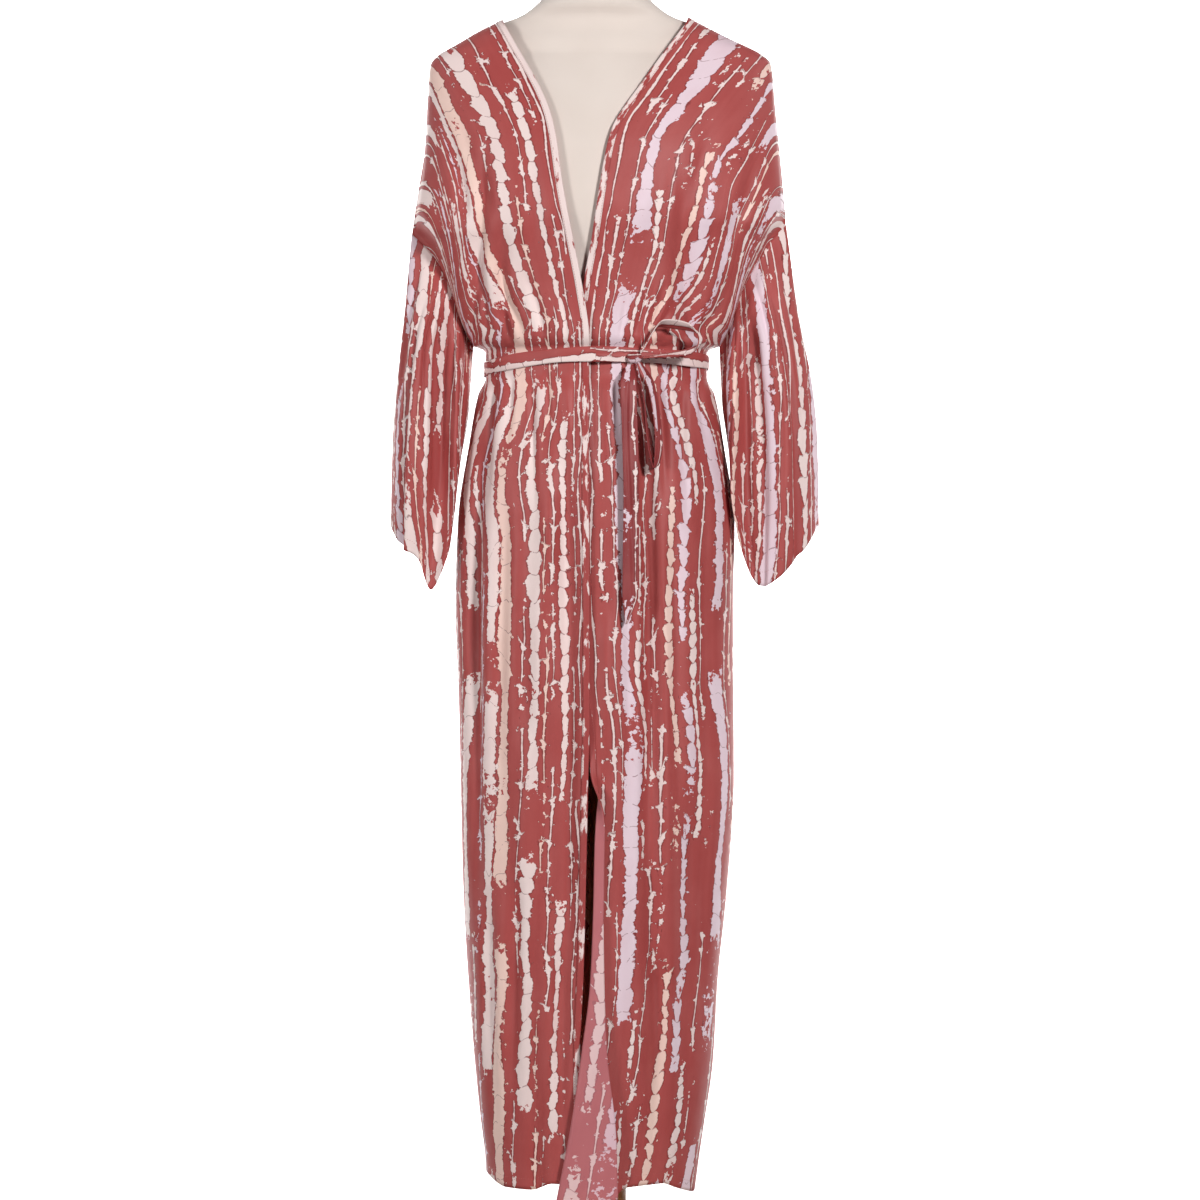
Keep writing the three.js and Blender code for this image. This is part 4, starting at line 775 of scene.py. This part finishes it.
COLUMN = column_group()
CREAM, LILAC, PEACH = srgb(239, 217, 213), srgb(230, 207, 216), srgb(240, 206, 194)
TINTS = [CREAM, LILAC, PEACH]
COLUMN_TABLE = "centre width pitch cup core gaps thorn tint"
PRINTS = {
    "left": (318, table(COLUMN_TABLE, [
        (1.5, 2.6, 170, 0, 1, 0.1, 0, 0), (15, 4, 58, 1, 0.5, 0.42, 7, 0),
        (27, 2, 41, 1, 0.6, 0.4, 6, 0), (42, 22, 31, 0.25, 0.6, 0.2, 0, 1),
        (60, 9, 19, 0.3, 0, 0.46, 0, 0), (71, 2, 64, 1, 0.6, 0.36, 7, 0),
        (84, 5, 47, 1, 0.3, 0.42, 8, 0), (103, 14, 21, 0.5, 0.05, 0.36, 0, 2),
        (122, 16, 24, 0.5, 0.1, 0.3, 3, 1), (137, 11, 17, 0.2, 0, 0.44, 0, 0),
        (151, 2.4, 90, 0.5, 0.8, 0.42, 6, 0), (176, 20, 38, 0, 0.72, 0.28, 0, 1),
        (193, 3, 36, 1, 0.5, 0.34, 7, 0), (207, 9, 26, 1, 0.2, 0.46, 0, 2),
        (229, 17, 27, 0.2, 0.3, 0.32, 0, 0), (243, 2, 52, 1, 0.6, 0.36, 6, 0),
        (262, 24, 30, 0.4, 0.5, 0.12, 0, 1), (281, 4, 44, 1, 0.4, 0.3, 7, 0),
        (298, 16, 24, 0.6, 0.2, 0.16, 0, 0)])),
    "right": (326, table(COLUMN_TABLE, [
        (3, 2.4, 210, 0, 1, 0.3, 0, 0), (12, 2, 43, 1, 0.6, 0.38, 6, 0),
        (26, 12, 23, 0.15, 0.2, 0.34, 0, 0), (40, 2.4, 62, 1, 0.6, 0.36, 7, 0),
        (50, 3, 38, 1, 0.5, 0.46, 6, 2), (66, 18, 27, 0, 0.36, 0.24, 0, 0),
        (81, 2, 70, 1, 0.7, 0.38, 8, 0), (104, 18, 36, 0, 0.86, 0.16, 0, 2),
        (124, 17, 62, 0, 0.92, 0.26, 3, 0), (141, 3, 42, 1, 0.5, 0.32, 7, 1),
        (153, 8, 20, 0.6, 0.1, 0.5, 0, 0), (171, 18, 40, 0.1, 0.6, 0.3, 0, 0),
        (189, 2, 60, 1, 0.6, 0.34, 7, 0), (204, 9, 25, 1, 0.2, 0.48, 4, 0),
        (220, 16, 22, 0.6, 0.1, 0.32, 0, 1), (235, 2.4, 47, 1, 0.6, 0.4, 6, 0),
        (250, 18, 33, 0, 0.5, 0.3, 0, 0), (267, 3, 54, 1, 0.5, 0.38, 7, 2),
        (284, 13, 24, 0.3, 0.1, 0.4, 0, 0), (306, 15, 28, 0, 0.2, 0.32, 0, 0)])),
    "belt": (60, table(COLUMN_TABLE, [
        (24.5, 8, 23, 0.2, 0.62, 0.3, 0, 0), (35, 1.8, 60, 0.5, 0.5, 0.5, 3, 0)])),
    "belt end": (60, table(COLUMN_TABLE, [
        (25, 9, 27, 0.3, 0.5, 0.56, 0, 1), (34, 2, 44, 1, 0.5, 0.5, 3, 0)])),
}
RED, OUTLINE_RED = srgb(166, 70, 68), srgb(110, 38, 40)
BELT_END_RED = srgb(132, 46, 48)
WRONG_PINK = srgb(222, 152, 162)


def cloth_material(name, print_name, offset=0.0, wrong_side=False):
    """Smooth printed cloth: the columns over the red, faint streaks of dye, a crumple and a weave."""
    material, tree, shader = new_material(
        name, Roughness=0.52, Sheen_Weight=0.04, Sheen_Roughness=0.4, Specular_IOR_Level=0.3)
    across, along = cloth_place(tree)
    wander = noise(tree, place(tree, across / 45.0, along / 120.0), 1.0) - 0.5
    rough = noise(tree, place(tree, across / 9.0, along / 9.0, 3.0), 1.0, 3.0, 0.6)
    streak = noise(tree, place(tree, across / 9.0, along / 260.0, 7.0), 1.0, 3.0)
    wash = noise(tree, place(tree, across / 45.0, along / 60.0, 11.0), 1.0, 3.0)
    period, rows = PRINTS[print_name]
    local = (across + offset).math("FLOORED_MODULO", period)
    red, streaked = (BELT_END_RED, RED) if print_name == "belt end" else (RED, srgb(184, 90, 86))
    colour = blend_colour(tree, (streak + wash - 0.6).clamped() * 0.6, red, streaked)
    line = None
    for number, values in enumerate(zip(*rows.values())):
        node = tree.nodes.new("ShaderNodeGroup")
        node.node_tree = COLUMN
        for slot, wire in (("across", local), ("along", along), ("wander", wander), ("rough", rough)):
            tree.links.new(wire.socket, node.inputs[slot])
        for slot, value in zip(COLUMN_TABLE.split()[:-1], values):
            node.inputs[slot].default_value = value
        node.inputs["seed"].default_value = number * 0.37 + offset * 0.01
        colour = blend_colour(tree, node.outputs["pale"], colour, TINTS[int(values[-1])])
        dark = Wire(tree, node.outputs["line"])
        line = dark if line is None else line.math("MAXIMUM", dark)
    colour = blend_colour(tree, line * 0.8, colour, OUTLINE_RED)
    colour = blend_colour(tree, (wash - 0.45).clamped() * 0.4, colour, srgb(190, 108, 106))
    if wrong_side:
        colour = blend_colour(tree, 0.66, WRONG_PINK, colour)
    tree.links.new(colour, shader.inputs["Base Color"])
    crumple = noise(tree, place(tree, across / 16.0, along / 34.0, 5.0), 1.0, 3.0)
    weave = (across * 11.0).math("SINE") * (along * 11.0).math("SINE")
    soft = bump(tree, crumple, 0.5, 0.0011)
    tree.links.new(bump(tree, weave, 0.12, 0.00004, soft), shader.inputs["Normal"])
    return material


# %% Cloth finishes for the pieces
CLOTH = {
    "front_left": cloth_material("printed cloth, left front", "left"),
    "front_right": cloth_material("printed cloth, right front", "right"),
    "back": cloth_material("printed cloth, back", "right", 160.0),
    "sleeve_left": cloth_material("printed cloth, left sleeve", "left", 95.0),
    "sleeve_right": cloth_material("printed cloth, right sleeve", "right", 40.0),
    "belt": cloth_material("printed cloth, belt", "belt", 29.0),
    "belt end": cloth_material("printed cloth, belt ends", "belt end", 29.0),
}
WRONG = {
    "left": cloth_material("wrong side, left", "left", wrong_side=True),
    "right": cloth_material("wrong side, right", "right", wrong_side=True),
}


def plain_cloth(name, colour, darker):
    """Narrow trims: one soft colour with faint dye clouds and a weave, on object coordinates."""
    material, tree, shader = new_material(name, Roughness=0.55, Sheen_Weight=0.1, Specular_IOR_Level=0.3)
    where = object_place(tree)
    cloud = noise(tree, where, 60.0, 3.0)
    mixed = blend_colour(tree, (cloud * 1.6 - 0.5).clamped(), colour, darker)
    tree.links.new(mixed, shader.inputs["Base Color"])
    fine = noise(tree, where, 1500.0, 2.0)
    tree.links.new(bump(tree, fine, 0.2, 0.0001), shader.inputs["Normal"])
    return material


def band_material(name, share):
    """Edge band: cream with ragged red stretches. The share of cream is larger above the belt."""
    material, tree, shader = new_material(name, Roughness=0.52, Specular_IOR_Level=0.3)
    across, along = cloth_place(tree)
    height = split_place(tree, object_place(tree))[2]
    above = height.math("GREATER_THAN", BELT_Z * MM)
    patch = noise(tree, place(tree, across / 9.0, along / 34.0), 1.0, 4.0, 0.6)
    cream = ((patch + above * 0.16 + share - 1.0) * 24.0).clamped()
    tree.links.new(blend_colour(tree, cream, RED, CREAM), shader.inputs["Base Color"])
    return material


BAND = {"right": band_material("edge band, right", 0.47), "left": band_material("edge band, left", 0.36)}
THREAD = plain_cloth("sewing thread", srgb(186, 100, 96), srgb(160, 72, 70))
print("materials:", len(bpy.data.materials))

# %% [markdown]
# From grid to cloth
#
# A grid becomes a mesh of four-sided faces in one step, with its cloth coordinates in metres as a
# UV map. Solidify then gives it a thin wall, whose inner face takes the second material: the wrong
# side of the cloth.

# %% Sheets from grids
WALL = 0.7


def add_object(name, data):
    thing = bpy.data.objects.new(name, data)
    bpy.context.scene.collection.objects.link(thing)
    return thing


def sheet_mesh(name, points, cloth, materials, ring=False, away=(0, 0), wall=WALL):
    """Object of a grid's faces, in metres, facing away from an upright axis."""
    rows, columns = points.shape[:2]
    i, j = np.meshgrid(np.arange(rows - 1), np.arange(columns if ring else columns - 1), indexing="ij")
    corners = np.stack([(i, j), (i, j + 1), (i + 1, j + 1), (i + 1, j)], 0).reshape(4, 2, -1)
    normal = np.cross(points[1:, :-1] - points[:-1, :-1], points[:-1, 1:] - points[:-1, :-1])
    inward = ((points[:-1, :-1, :2] - np.array(away)) * normal[..., :2]).sum() > 0
    if inward:
        corners = corners[::-1]
    faces = (corners[:, 0] * columns + corners[:, 1] % columns).T
    uv = cloth[corners[:, 0], corners[:, 1]].transpose(1, 0, 2) * MM
    mesh = bpy.data.meshes.new(name)
    mesh.from_pydata((points.reshape(-1, 3) * MM).tolist(), [], faces.tolist())
    mesh.uv_layers.new(name="cloth").data.foreach_set("uv", uv.ravel())
    mesh.shade_smooth()
    for material in materials:
        mesh.materials.append(material)
    piece = add_object(name, mesh)
    thicken = piece.modifiers.new("wall", "SOLIDIFY")
    thicken.thickness, thicken.offset = wall * MM, 0.0
    thicken.material_offset = len(materials) - 1
    print(name, rows, "x", columns, "points,", len(faces), "faces")
    return piece


pieces = {}
for name, (points, cloth) in grids.items():
    side = "left" if name.endswith("left") else "right"
    ring = name.startswith("sleeve")
    away = (SIGN[side] * 200, 0) if ring else (0, 0)
    pieces[name] = sheet_mesh(name + "_cloth", points, cloth, [CLOTH[name], WRONG[side]], ring, away)

# %% [markdown]
# Edge bands
#
# A narrow band is folded over each front edge and goes on round the back of the neck. It lies on
# the panels, so its points are theirs, moved out along their normals.

# %% Bands
BAND_LIFT = 0.85


BACK_ROWS_NEAR_NECK = 60


def sampled(at, run, values):
    """Rows of values at given distances along a line."""
    return np.stack([np.interp(at, run, part) for part in values.T], -1)


def down_from_edge(points, normal, reach):
    """Points and normals of a grid's columns at given distances below its first row."""
    run = run_along(points)
    columns = range(points.shape[1])
    return [np.array([sampled(reach, run[:, k], values[:, k]) for k in columns]) for values in (points, normal)]


def band_grid(side):
    """Band from the middle of the back neck over the shoulder and down the front edge to the hem."""
    front, _ = grids["front_" + side]
    back, _ = grids["back"]
    neck_columns = int(round((BACK_COLUMNS - 1) * NECK_STEPS / (NECK_STEPS + SEAM_STEPS)))
    middle = BACK_COLUMNS - 1
    neck = np.s_[:BACK_ROWS_NEAR_NECK, middle : middle + SIGN[side] * neck_columns : SIGN[side]]
    spots, facing = down_from_edge(back[neck], normals_of(back)[neck], BAND_LINES)
    edge = np.s_[:, : len(BAND_LINES)]
    strip = front[edge] + normals_of(front)[edge] * BAND_LIFT
    return np.concatenate([spots + facing * BAND_LIFT, strip])


bands = {side: band_grid(side) for side in SIGN}
for side, points in bands.items():
    cloth = join(BAND_LINES[None, :], run_along(points[:, 0])[:, None])
    pieces["band_" + side] = sheet_mesh("band_" + side + "_cloth", points, cloth, [BAND[side]], wall=0.5)

# %% [markdown]
# The belt
#
# One straight strip goes round the waist and is tied at the wearer's left: a small knot, one loop
# standing up, one hanging, and a free end cut to a point. A tied strip isn't flat. Its middle
# cups and one fold runs along it, so the strip's cross-section gets both.

# %% The belt round the waist
BELT_WALL = 0.9
BELT_HALF = 8.6
BELT_RUN = 735
BELT_CLEAR = 1.9
BELT_TILT = {"front": 1, "right": -11, "left": -3, "back": -5}
BELT_HUMP = {"x": -18, "high": 6.6, "flat": 20, "fade": 24}


def belt_grid():
    """Ring round the waist: the body's section moved out, with a hump over the lapped edge."""
    angle = np.linspace(0, 2 * np.pi, 288, endpoint=False)[None, :]
    up = np.linspace(-1, 1, 11)[:, None]
    sine, cosine = np.sin(angle), np.cos(angle)
    half = np.where(sine < 0, outline("right", BELT_Z), outline("left", BELT_Z)) + BELT_CLEAR
    front = cosine > 0
    depth = np.where(front, track(DEPTH, "front", BELT_Z), track(DEPTH, "back", BELT_Z)) + BELT_CLEAR
    x = half * sine
    past = np.maximum(0, np.abs(x - BELT_HUMP["x"]) - BELT_HUMP["flat"])
    hump = np.where(front, BELT_HUMP["high"] * bell(past / BELT_HUMP["fade"]), 0)
    tilt = cosine**2 * np.where(front, BELT_TILT["front"], BELT_TILT["back"])
    tilt = tilt + sine**2 * np.where(sine < 0, BELT_TILT["right"], BELT_TILT["left"])
    fold = bell((up - 0.15 * np.sin(3 * angle)) / 0.12)
    cup = 0.7 * (1 - up**2) + 0.35 * np.sin(5 * angle + 2.2 * up) - 0.8 * fold
    outward = np.maximum(0, cup)
    z = BELT_Z + tilt + BELT_HALF * up * (1 + 0.05 * np.sin(7 * angle + 1))
    points = join(x + outward * sine, -(depth * cosine + hump) - outward * cosine, z)
    run = np.linspace(0, BELT_RUN, angle.size + 1)[None, :]
    return points, join(BELT_HALF * up, run)


points, cloth = belt_grid()
belt = sheet_mesh("belt_waist_cloth", points, cloth, [CLOTH["belt"]], ring=True, wall=BELT_WALL)
pieces["belt_waist"] = belt

# %% Loops and free end
PATH = "at x y z wide leanX leanY leanZ"
STRIPS = {
    "belt_loop_upper": (180, table(PATH, [
        (0, 52, -96.6, 1097.4, 8, 0.1, 1, 0.2), (0.25, 77, -106, 1131, 19, -0.3, 1, -0.4),
        (0.45, 108, -101, 1127, 20, 0.2, 1, -0.5), (0.58, 124, -96, 1113, 20, 0.5, 1, -0.1),
        (0.7, 112, -98, 1100, 19, 0.1, 1, 0.5), (1, 54.9, -95.5, 1092, 8, 0, 1, 0.3)])),
    "belt_loop_lower": (200, table(PATH, [
        (0, 51, -97, 1086.4, 8, 0.5, 1, 0), (0.15, 64, -107, 1060, 16, 0.6, 1, 0.1),
        (0.4, 73, -109, 990, 18, 0.5, 1, 0), (0.5, 69, -110, 964, 18, 0.3, 1, 0.2),
        (0.6, 62, -112, 984, 18, 0.1, 1, 0), (0.85, 54, -111, 1050, 16, 0, 1, 0),
        (1, 47, -99, 1084.4, 8, 0.2, 1, 0)])),
    "belt_tail": (220, table(PATH, [
        (0, 40, -97, 1084, 8, 1, 0.1, 0), (0.1, 38, -113, 1060, 19, 1, 0.2, 0),
        (0.5, 41, -121, 940, 19, 1, 0.3, 0), (0.9, 40, -120, 818, 19, 1, 0.2, 0),
        (1, 35, -120, 782, 2.5, 1, 0.2, 0)])),
}


def strip_grid(steps, rows, fold):
    """Strip along a path: across it the cloth cups, and a crease of its own wanders along it."""
    at = np.linspace(0, 1, steps)
    middle = np.stack([track(rows, axis, at) for axis in "xyz"], -1)
    lean = np.stack([track(rows, "lean" + axis, at) for axis in "XYZ"], -1)
    lean /= np.linalg.norm(lean, axis=1, keepdims=True)
    half = track(rows, "wide", at)[:, None] / 2
    w = np.linspace(-1, 1, 13)[None, :]
    facing = np.cross(lean, np.gradient(middle, axis=0))
    facing /= np.linalg.norm(facing, axis=1, keepdims=True)
    crease = bell((w - 0.4 * np.sin(fold + 5 * at[:, None])) / 0.16)
    cup = half * (0.12 * (1 - w**2) - 0.14 * crease + 0.04 * np.sin(17 * at[:, None] + 2 * w + fold))
    points = middle[:, None] + lean[:, None] * (half * w)[..., None] + facing[:, None] * cup[..., None]
    return points, join(9 * w, run_along(middle)[:, None] + 60 * fold)


for fold, (name, (steps, rows)) in enumerate(STRIPS.items()):
    points, cloth = strip_grid(steps, rows, fold + 1.0)
    finish = CLOTH["belt" if name == "belt_loop_upper" else "belt end"]
    pieces[name] = sheet_mesh(name + "_cloth", points, cloth, [finish], away=(60, -60), wall=BELT_WALL)

# %% The knot
KNOT = {"middle": (45, -95, 1092), "half": (9, 7, 8)}


def closed_mesh(name, points, cloth, materials):
    """Object of a grid that closes round and comes to a point at both ends."""
    piece = sheet_mesh(name, points, cloth, materials, ring=True, away=tuple(points[..., :2].mean((0, 1))))
    piece.modifiers.clear()
    work = bmesh.new()
    work.from_mesh(piece.data)
    bmesh.ops.remove_doubles(work, verts=work.verts, dist=1e-6)
    bmesh.ops.recalc_face_normals(work, faces=work.faces)
    work.to_mesh(piece.data)
    work.free()
    return piece


def knot_grid():
    """Wrapped knot: an ellipsoid whose radius carries slanting turns of cloth with creases between."""
    pole = np.linspace(0, np.pi, 41)[:, None]
    turn = np.linspace(0, 2 * np.pi, 72, endpoint=False)[None, :]
    wraps = np.abs(np.sin(1.5 * pole + turn)) ** 0.6
    radius = 0.86 + 0.13 * wraps * np.sin(pole) + 0.02 * np.sin(9 * turn + 5 * pole)
    unit = join(np.sin(pole) * np.cos(turn), np.sin(pole) * np.sin(turn), np.cos(pole))
    points = np.array(KNOT["middle"]) + unit * radius[..., None] * np.array(KNOT["half"])
    return points, join(9 * np.cos(pole), np.linspace(0, 50, turn.size + 1)[None, :])


points, cloth = knot_grid()
pieces["belt_knot"] = closed_mesh("belt_knot_cloth", points, cloth, [CLOTH["belt end"]])

# %% [markdown]
# Sewing
#
# Hems and bands are topstitched. Each stitch is a small spindle of thread lying along the seam, and
# all the stitches of a line are one mesh made from arrays.

# %% Topstitching
STITCH_LENGTH = 2.2
STITCH_PITCH = 3.1
STITCH_WIDE = 0.45
STITCH_FACES = np.array([
    (0, 2, 4), (2, 1, 4), (1, 3, 4), (3, 0, 4), (2, 0, 5), (1, 2, 5), (3, 1, 5), (0, 3, 5)])


def stitches(path, facing):
    """Vertices and faces of stitches along a path: six points each, at both ends of three axes."""
    run = run_along(path)
    at = np.arange(STITCH_PITCH, run[-1] - STITCH_PITCH, STITCH_PITCH)
    spot = sampled(at, run, path)
    ahead = sampled(at + 0.5, run, path) - spot
    up = sampled(at, run, facing)
    ahead /= np.linalg.norm(ahead, axis=1, keepdims=True)
    up /= np.linalg.norm(up, axis=1, keepdims=True)
    side = np.cross(up, ahead)
    arms = np.stack([ahead * STITCH_LENGTH / 2, -ahead * STITCH_LENGTH / 2, side * STITCH_WIDE / 2,
                     -side * STITCH_WIDE / 2, up * STITCH_WIDE / 2, -up * STITCH_WIDE / 2], 1)
    vertices = (spot[:, None] + arms).reshape(-1, 3)
    return vertices, (STITCH_FACES[None] + 6 * np.arange(len(at))[:, None, None]).reshape(-1, 3)


def sew(name, lines):
    vertices, faces, count = [], [], 0
    for path, facing in lines:
        more, joined = stitches(path, facing)
        vertices.append(more)
        faces.append(joined + count)
        count += len(more)
    mesh = bpy.data.meshes.new(name)
    mesh.from_pydata((np.concatenate(vertices) * MM).tolist(), [], np.concatenate(faces).tolist())
    mesh.materials.append(THREAD)
    print(name, count // 6, "stitches")
    return add_object(name, mesh)


def row_line(name, row, ring=False, away=(0, 0)):
    """A grid's row as a line on the cloth's outer face."""
    points, _ = grids[name]
    facing = normals_of(points, ring, away)
    line = points[row] + facing[row] * (WALL / 2 + 0.1)
    if ring:
        return np.vstack([line, line[:1]]), np.vstack([facing[row], facing[row][:1]])
    return line, facing[row]


SEWING = {}
for side in SIGN:
    facing = normals_of(bands[side])
    inner = mix(bands[side][:, 3], bands[side][:, 4], 0.3) + facing[:, 3] * 0.35
    SEWING["band_stitches_" + side] = sew("band_stitches_" + side, [(inner, facing[:, 3])])
    cuff = row_line("sleeve_" + side, -5, True, (SIGN[side] * 200, 0))
    SEWING["cuff_stitches_" + side] = sew("cuff_stitches_" + side, [cuff])
    SEWING["hem_stitches_" + side] = sew("hem_stitches_" + side, [row_line("front_" + side, -4)])
SEWING["hem_stitches_back"] = sew("hem_stitches_back", [row_line("back", -4)])

# %% [markdown]
# The dress form and its stand
#
# The form is a smooth padded shape under stretched jersey, made as one surface whose sections are
# superellipses. Pole, collar, cap and base are turned wood, so each is a profile spun round.


# %% The form
def form_grid():
    """Sections round the form, closed by rows that shrink to the middle at its flat ends."""
    turn = np.linspace(0, 2 * np.pi, 128, endpoint=False)[None, :]
    z = np.concatenate([np.full(3, 800.0), np.linspace(800.5, 1580, 170), np.full(2, 1580.0)])[:, None]
    scale = np.concatenate([[0, 0.6, 0.97], np.ones(170), [0.9, 0]])[:, None]
    power = track(FORM, "round", z)
    reach = (1 - np.abs(np.sin(turn)) ** power) ** (1 / power)
    y = np.where(np.cos(turn) > 0, -track(FORM, "front", z), track(FORM, "back", z)) * reach
    x = track(FORM, "half", z) * np.sin(turn)
    return join(x * scale, y * scale, z)


def jersey_material():
    material, tree, shader = new_material(
        "form jersey", Roughness=0.85, Sheen_Weight=0.25, Specular_IOR_Level=0.2)
    where = object_place(tree)
    cloud = noise(tree, where, 14.0, 3.0)
    colour = blend_colour(tree, (cloud * 1.4 - 0.4).clamped(), srgb(230, 217, 208), srgb(222, 208, 198))
    tree.links.new(colour, shader.inputs["Base Color"])
    knit = noise(tree, where, 1400.0, 2.0)
    tree.links.new(bump(tree, knit, 0.25, 0.0002), shader.inputs["Normal"])
    return material


points = form_grid()
cloth = np.zeros((points.shape[0], points.shape[1] + 1, 2))
pieces["form_torso"] = closed_mesh("form_body", points, cloth, [jersey_material()])


# %% The turned wood
def wood_material():
    """Pale wood: growth rings stretched along the grain, under a thin varnish."""
    material, tree, shader = new_material("pale wood", Roughness=0.42, Coat_Weight=0.25, Coat_Roughness=0.25)
    x, y, z = split_place(tree, object_place(tree))
    warp = noise(tree, place(tree, x * 9.0, y * 9.0, z * 1.4), 1.0, 3.0)
    ring = (x * 110.0 + y * 45.0 + warp * 9.0).math("SINE") * 0.5 + 0.5
    pore = noise(tree, place(tree, x * 700.0, y * 700.0, z * 30.0), 1.0, 2.0)
    colour = blend_colour(tree, (ring * 0.7 + pore * 0.3).clamped(), srgb(206, 162, 112), srgb(180, 132, 84))
    tree.links.new(colour, shader.inputs["Base Color"])
    tree.links.new(bump(tree, ring * 0.4 + pore, 0.15, 0.0002), shader.inputs["Normal"])
    return material


WOOD = wood_material()
POLE_X = 14
TURNED = {
    "neck_cap": (0, 1580.3, [
        (0, 0), (49, 0), (52.4, 1.6), (53, 4), (53, 11), (51.6, 14), (46, 17.4), (38, 18), (0, 18)]),
    "pole": (POLE_X, 26.3, [(0, 0), (21.4, 0), (22, 0.6), (22, 772.8), (21.4, 773.4), (0, 773.4)]),
    "pole_collar": (POLE_X, 26.3, [
        (22.3, 0), (37.4, 0), (38, 0.6), (38, 11), (36.6, 14.6), (31.4, 21.4), (29, 22), (22.9, 22),
        (22.3, 21.4), (22.3, 0)]),
    "base": (POLE_X, 0, [
        (0, 0), (184, 0), (185, 1), (185, 17), (183, 21.6), (178, 25.4), (174, 26), (0, 26)]),
}


def turned(name, x, z, profile):
    """Profile of (radius, height) spun round an upright line at x, with short straight runs between."""
    profile = np.array(profile, float)
    turn = np.linspace(0, 2 * np.pi, 120, endpoint=False)[None, :]
    radius, height = profile[:, :1], profile[:, 1:]
    points = join(x + radius * np.cos(turn), radius * np.sin(turn), z + height)
    cloth = np.zeros((points.shape[0], points.shape[1] + 1, 2))
    piece = closed_mesh(name, points, cloth, [WOOD])
    piece.data.set_sharp_from_angle(angle=np.radians(35))
    return piece


for node, (x, z, profile) in TURNED.items():
    pieces[node] = turned(node + "_wood", x, z, profile)

# %% [markdown]
# What rides on what
#
# Nothing here moves by itself, so every piece rides on the one body.

# %% Bodies
for node, piece in pieces.items():
    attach(piece, "root")
    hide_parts(node)
for piece in SEWING.values():
    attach(piece, "root")

for side, flat, area in (("right", (0.34, 1.4), 0.29), ("left", (0.36, 1.4), 0.34)):
    pieces["front_" + side]
    pieces["band_" + side]
    SEWING["band_stitches_" + side]
    SEWING["hem_stitches_" + side]
for side in SIGN:
    pieces["sleeve_" + side]
    pieces["front_" + side]
    SEWING["cuff_stitches_" + side]

# %% [markdown]
# Floor, light and camera
#
# A pale sheet that curves up behind the form gives no horizon. The floor before the form is grey, so
# that it throws little light back into the folds. One lamp near the camera makes the sides of a
# fold darker than its ridge, and a weaker one from the other side keeps the shade soft. The camera
# stands far back with a long lens, level with the middle of the robe.

# %% The sweep
FLOOR_GREY_BEFORE = 0.4
FLOOR_Y = np.array([-7, -5, -3, -1, FLOOR_GREY_BEFORE, 0.8, 1.2, 1.6, 2.2])
BEND_RADIUS = 1.6
WALL_TOP = 6
bend = np.linspace(0, np.pi / 2, 16)[1:]
wall_y = FLOOR_Y[-1] + BEND_RADIUS
sweep_y = np.concatenate([FLOOR_Y, FLOOR_Y[-1] + BEND_RADIUS * np.sin(bend), [wall_y]])
sweep_z = np.concatenate([0 * FLOOR_Y, BEND_RADIUS * (1 - np.cos(bend)), [WALL_TOP]])
sweep_x = np.linspace(-6, 6, 9)
gx, gy = np.meshgrid(sweep_x, sweep_y)
gz = np.repeat(sweep_z[:, None], len(sweep_x), 1)
count = len(sweep_x)
i, j = np.meshgrid(np.arange(len(sweep_y) - 1), np.arange(count - 1), indexing="ij")
corner = i * count + j
quads = np.stack([corner, corner + 1, corner + count + 1, corner + count], -1).reshape(-1, 4)
sweep = bpy.data.meshes.new("sweep")
sweep.from_pydata(np.stack([gx, gy, gz], -1).reshape(-1, 3).tolist(), [], quads.tolist())
sweep.shade_smooth()
for paper_name, grey in (("pale paper", 0.92), ("grey floor", 0.16)):
    paper, _, paper_shader = new_material(paper_name, Roughness=0.9, Specular_IOR_Level=0.1)
    paper_shader.inputs["Base Color"].default_value = (grey, grey, grey, 1)
    sweep.materials.append(paper)
sweep.polygons.foreach_set("material_index", (gy[:-1, :-1].ravel() < FLOOR_GREY_BEFORE).astype(np.int32))
backdrop = add_object("backdrop", sweep)

# %% Lamps
world = bpy.data.worlds.new("studio")
world.use_nodes = True
world.node_tree.nodes["Background"].inputs[0].default_value = (1, 1, 1, 1)
world.node_tree.nodes["Background"].inputs[1].default_value = 0.05
bpy.context.scene.world = world
BACKDROP_SPREAD = 116
LAMPS = {
    "key": ((1.7, -3.5, 2.2), (0, 0, 0.75), 0.5, 124),
    "fill": ((-2.8, -2.6, 1.4), (0, 0, 0.7), 0.8, 56),
    "backdrop left": ((-2.6, 1.0, 3.2), (-0.6, 3.6, 1.0), 2.0, 190),
    "backdrop right": ((2.6, 1.0, 3.2), (0.6, 3.6, 1.0), 2.0, 190),
}


def point_at(thing, place_at, target):
    from_to = np.array(target, float) - np.array(place_at, float)
    thing.location = place_at
    flat = np.hypot(from_to[0], from_to[1])
    thing.rotation_euler = (np.arctan2(flat, -from_to[2]), 0, np.arctan2(from_to[1], from_to[0]) - np.pi / 2)


for name, (spot, target, size, power) in LAMPS.items():
    data = bpy.data.lights.new(name, "AREA")
    data.shape, data.size, data.energy = "SQUARE", size, power
    if name.startswith("backdrop"):
        data.spread = np.radians(BACKDROP_SPREAD)
    point_at(add_object(name, data), spot, target)

# %% Camera
VIEW_DISTANCE = 4.2
VIEW_HEIGHT = 1.428
camera_data = bpy.data.cameras.new("camera")
camera_data.sensor_width = 36
camera_data.lens = 36 * VIEW_DISTANCE / VIEW_HEIGHT
camera = add_object("camera", camera_data)
point_at(camera, (0.0048, -VIEW_DISTANCE, 0.81), (0.0048, 0, 0.81))
bpy.context.scene.camera = camera
bpy.context.scene.view_settings.view_transform = "Standard"

# %% Final update of the scene
bpy.context.view_layer.update()
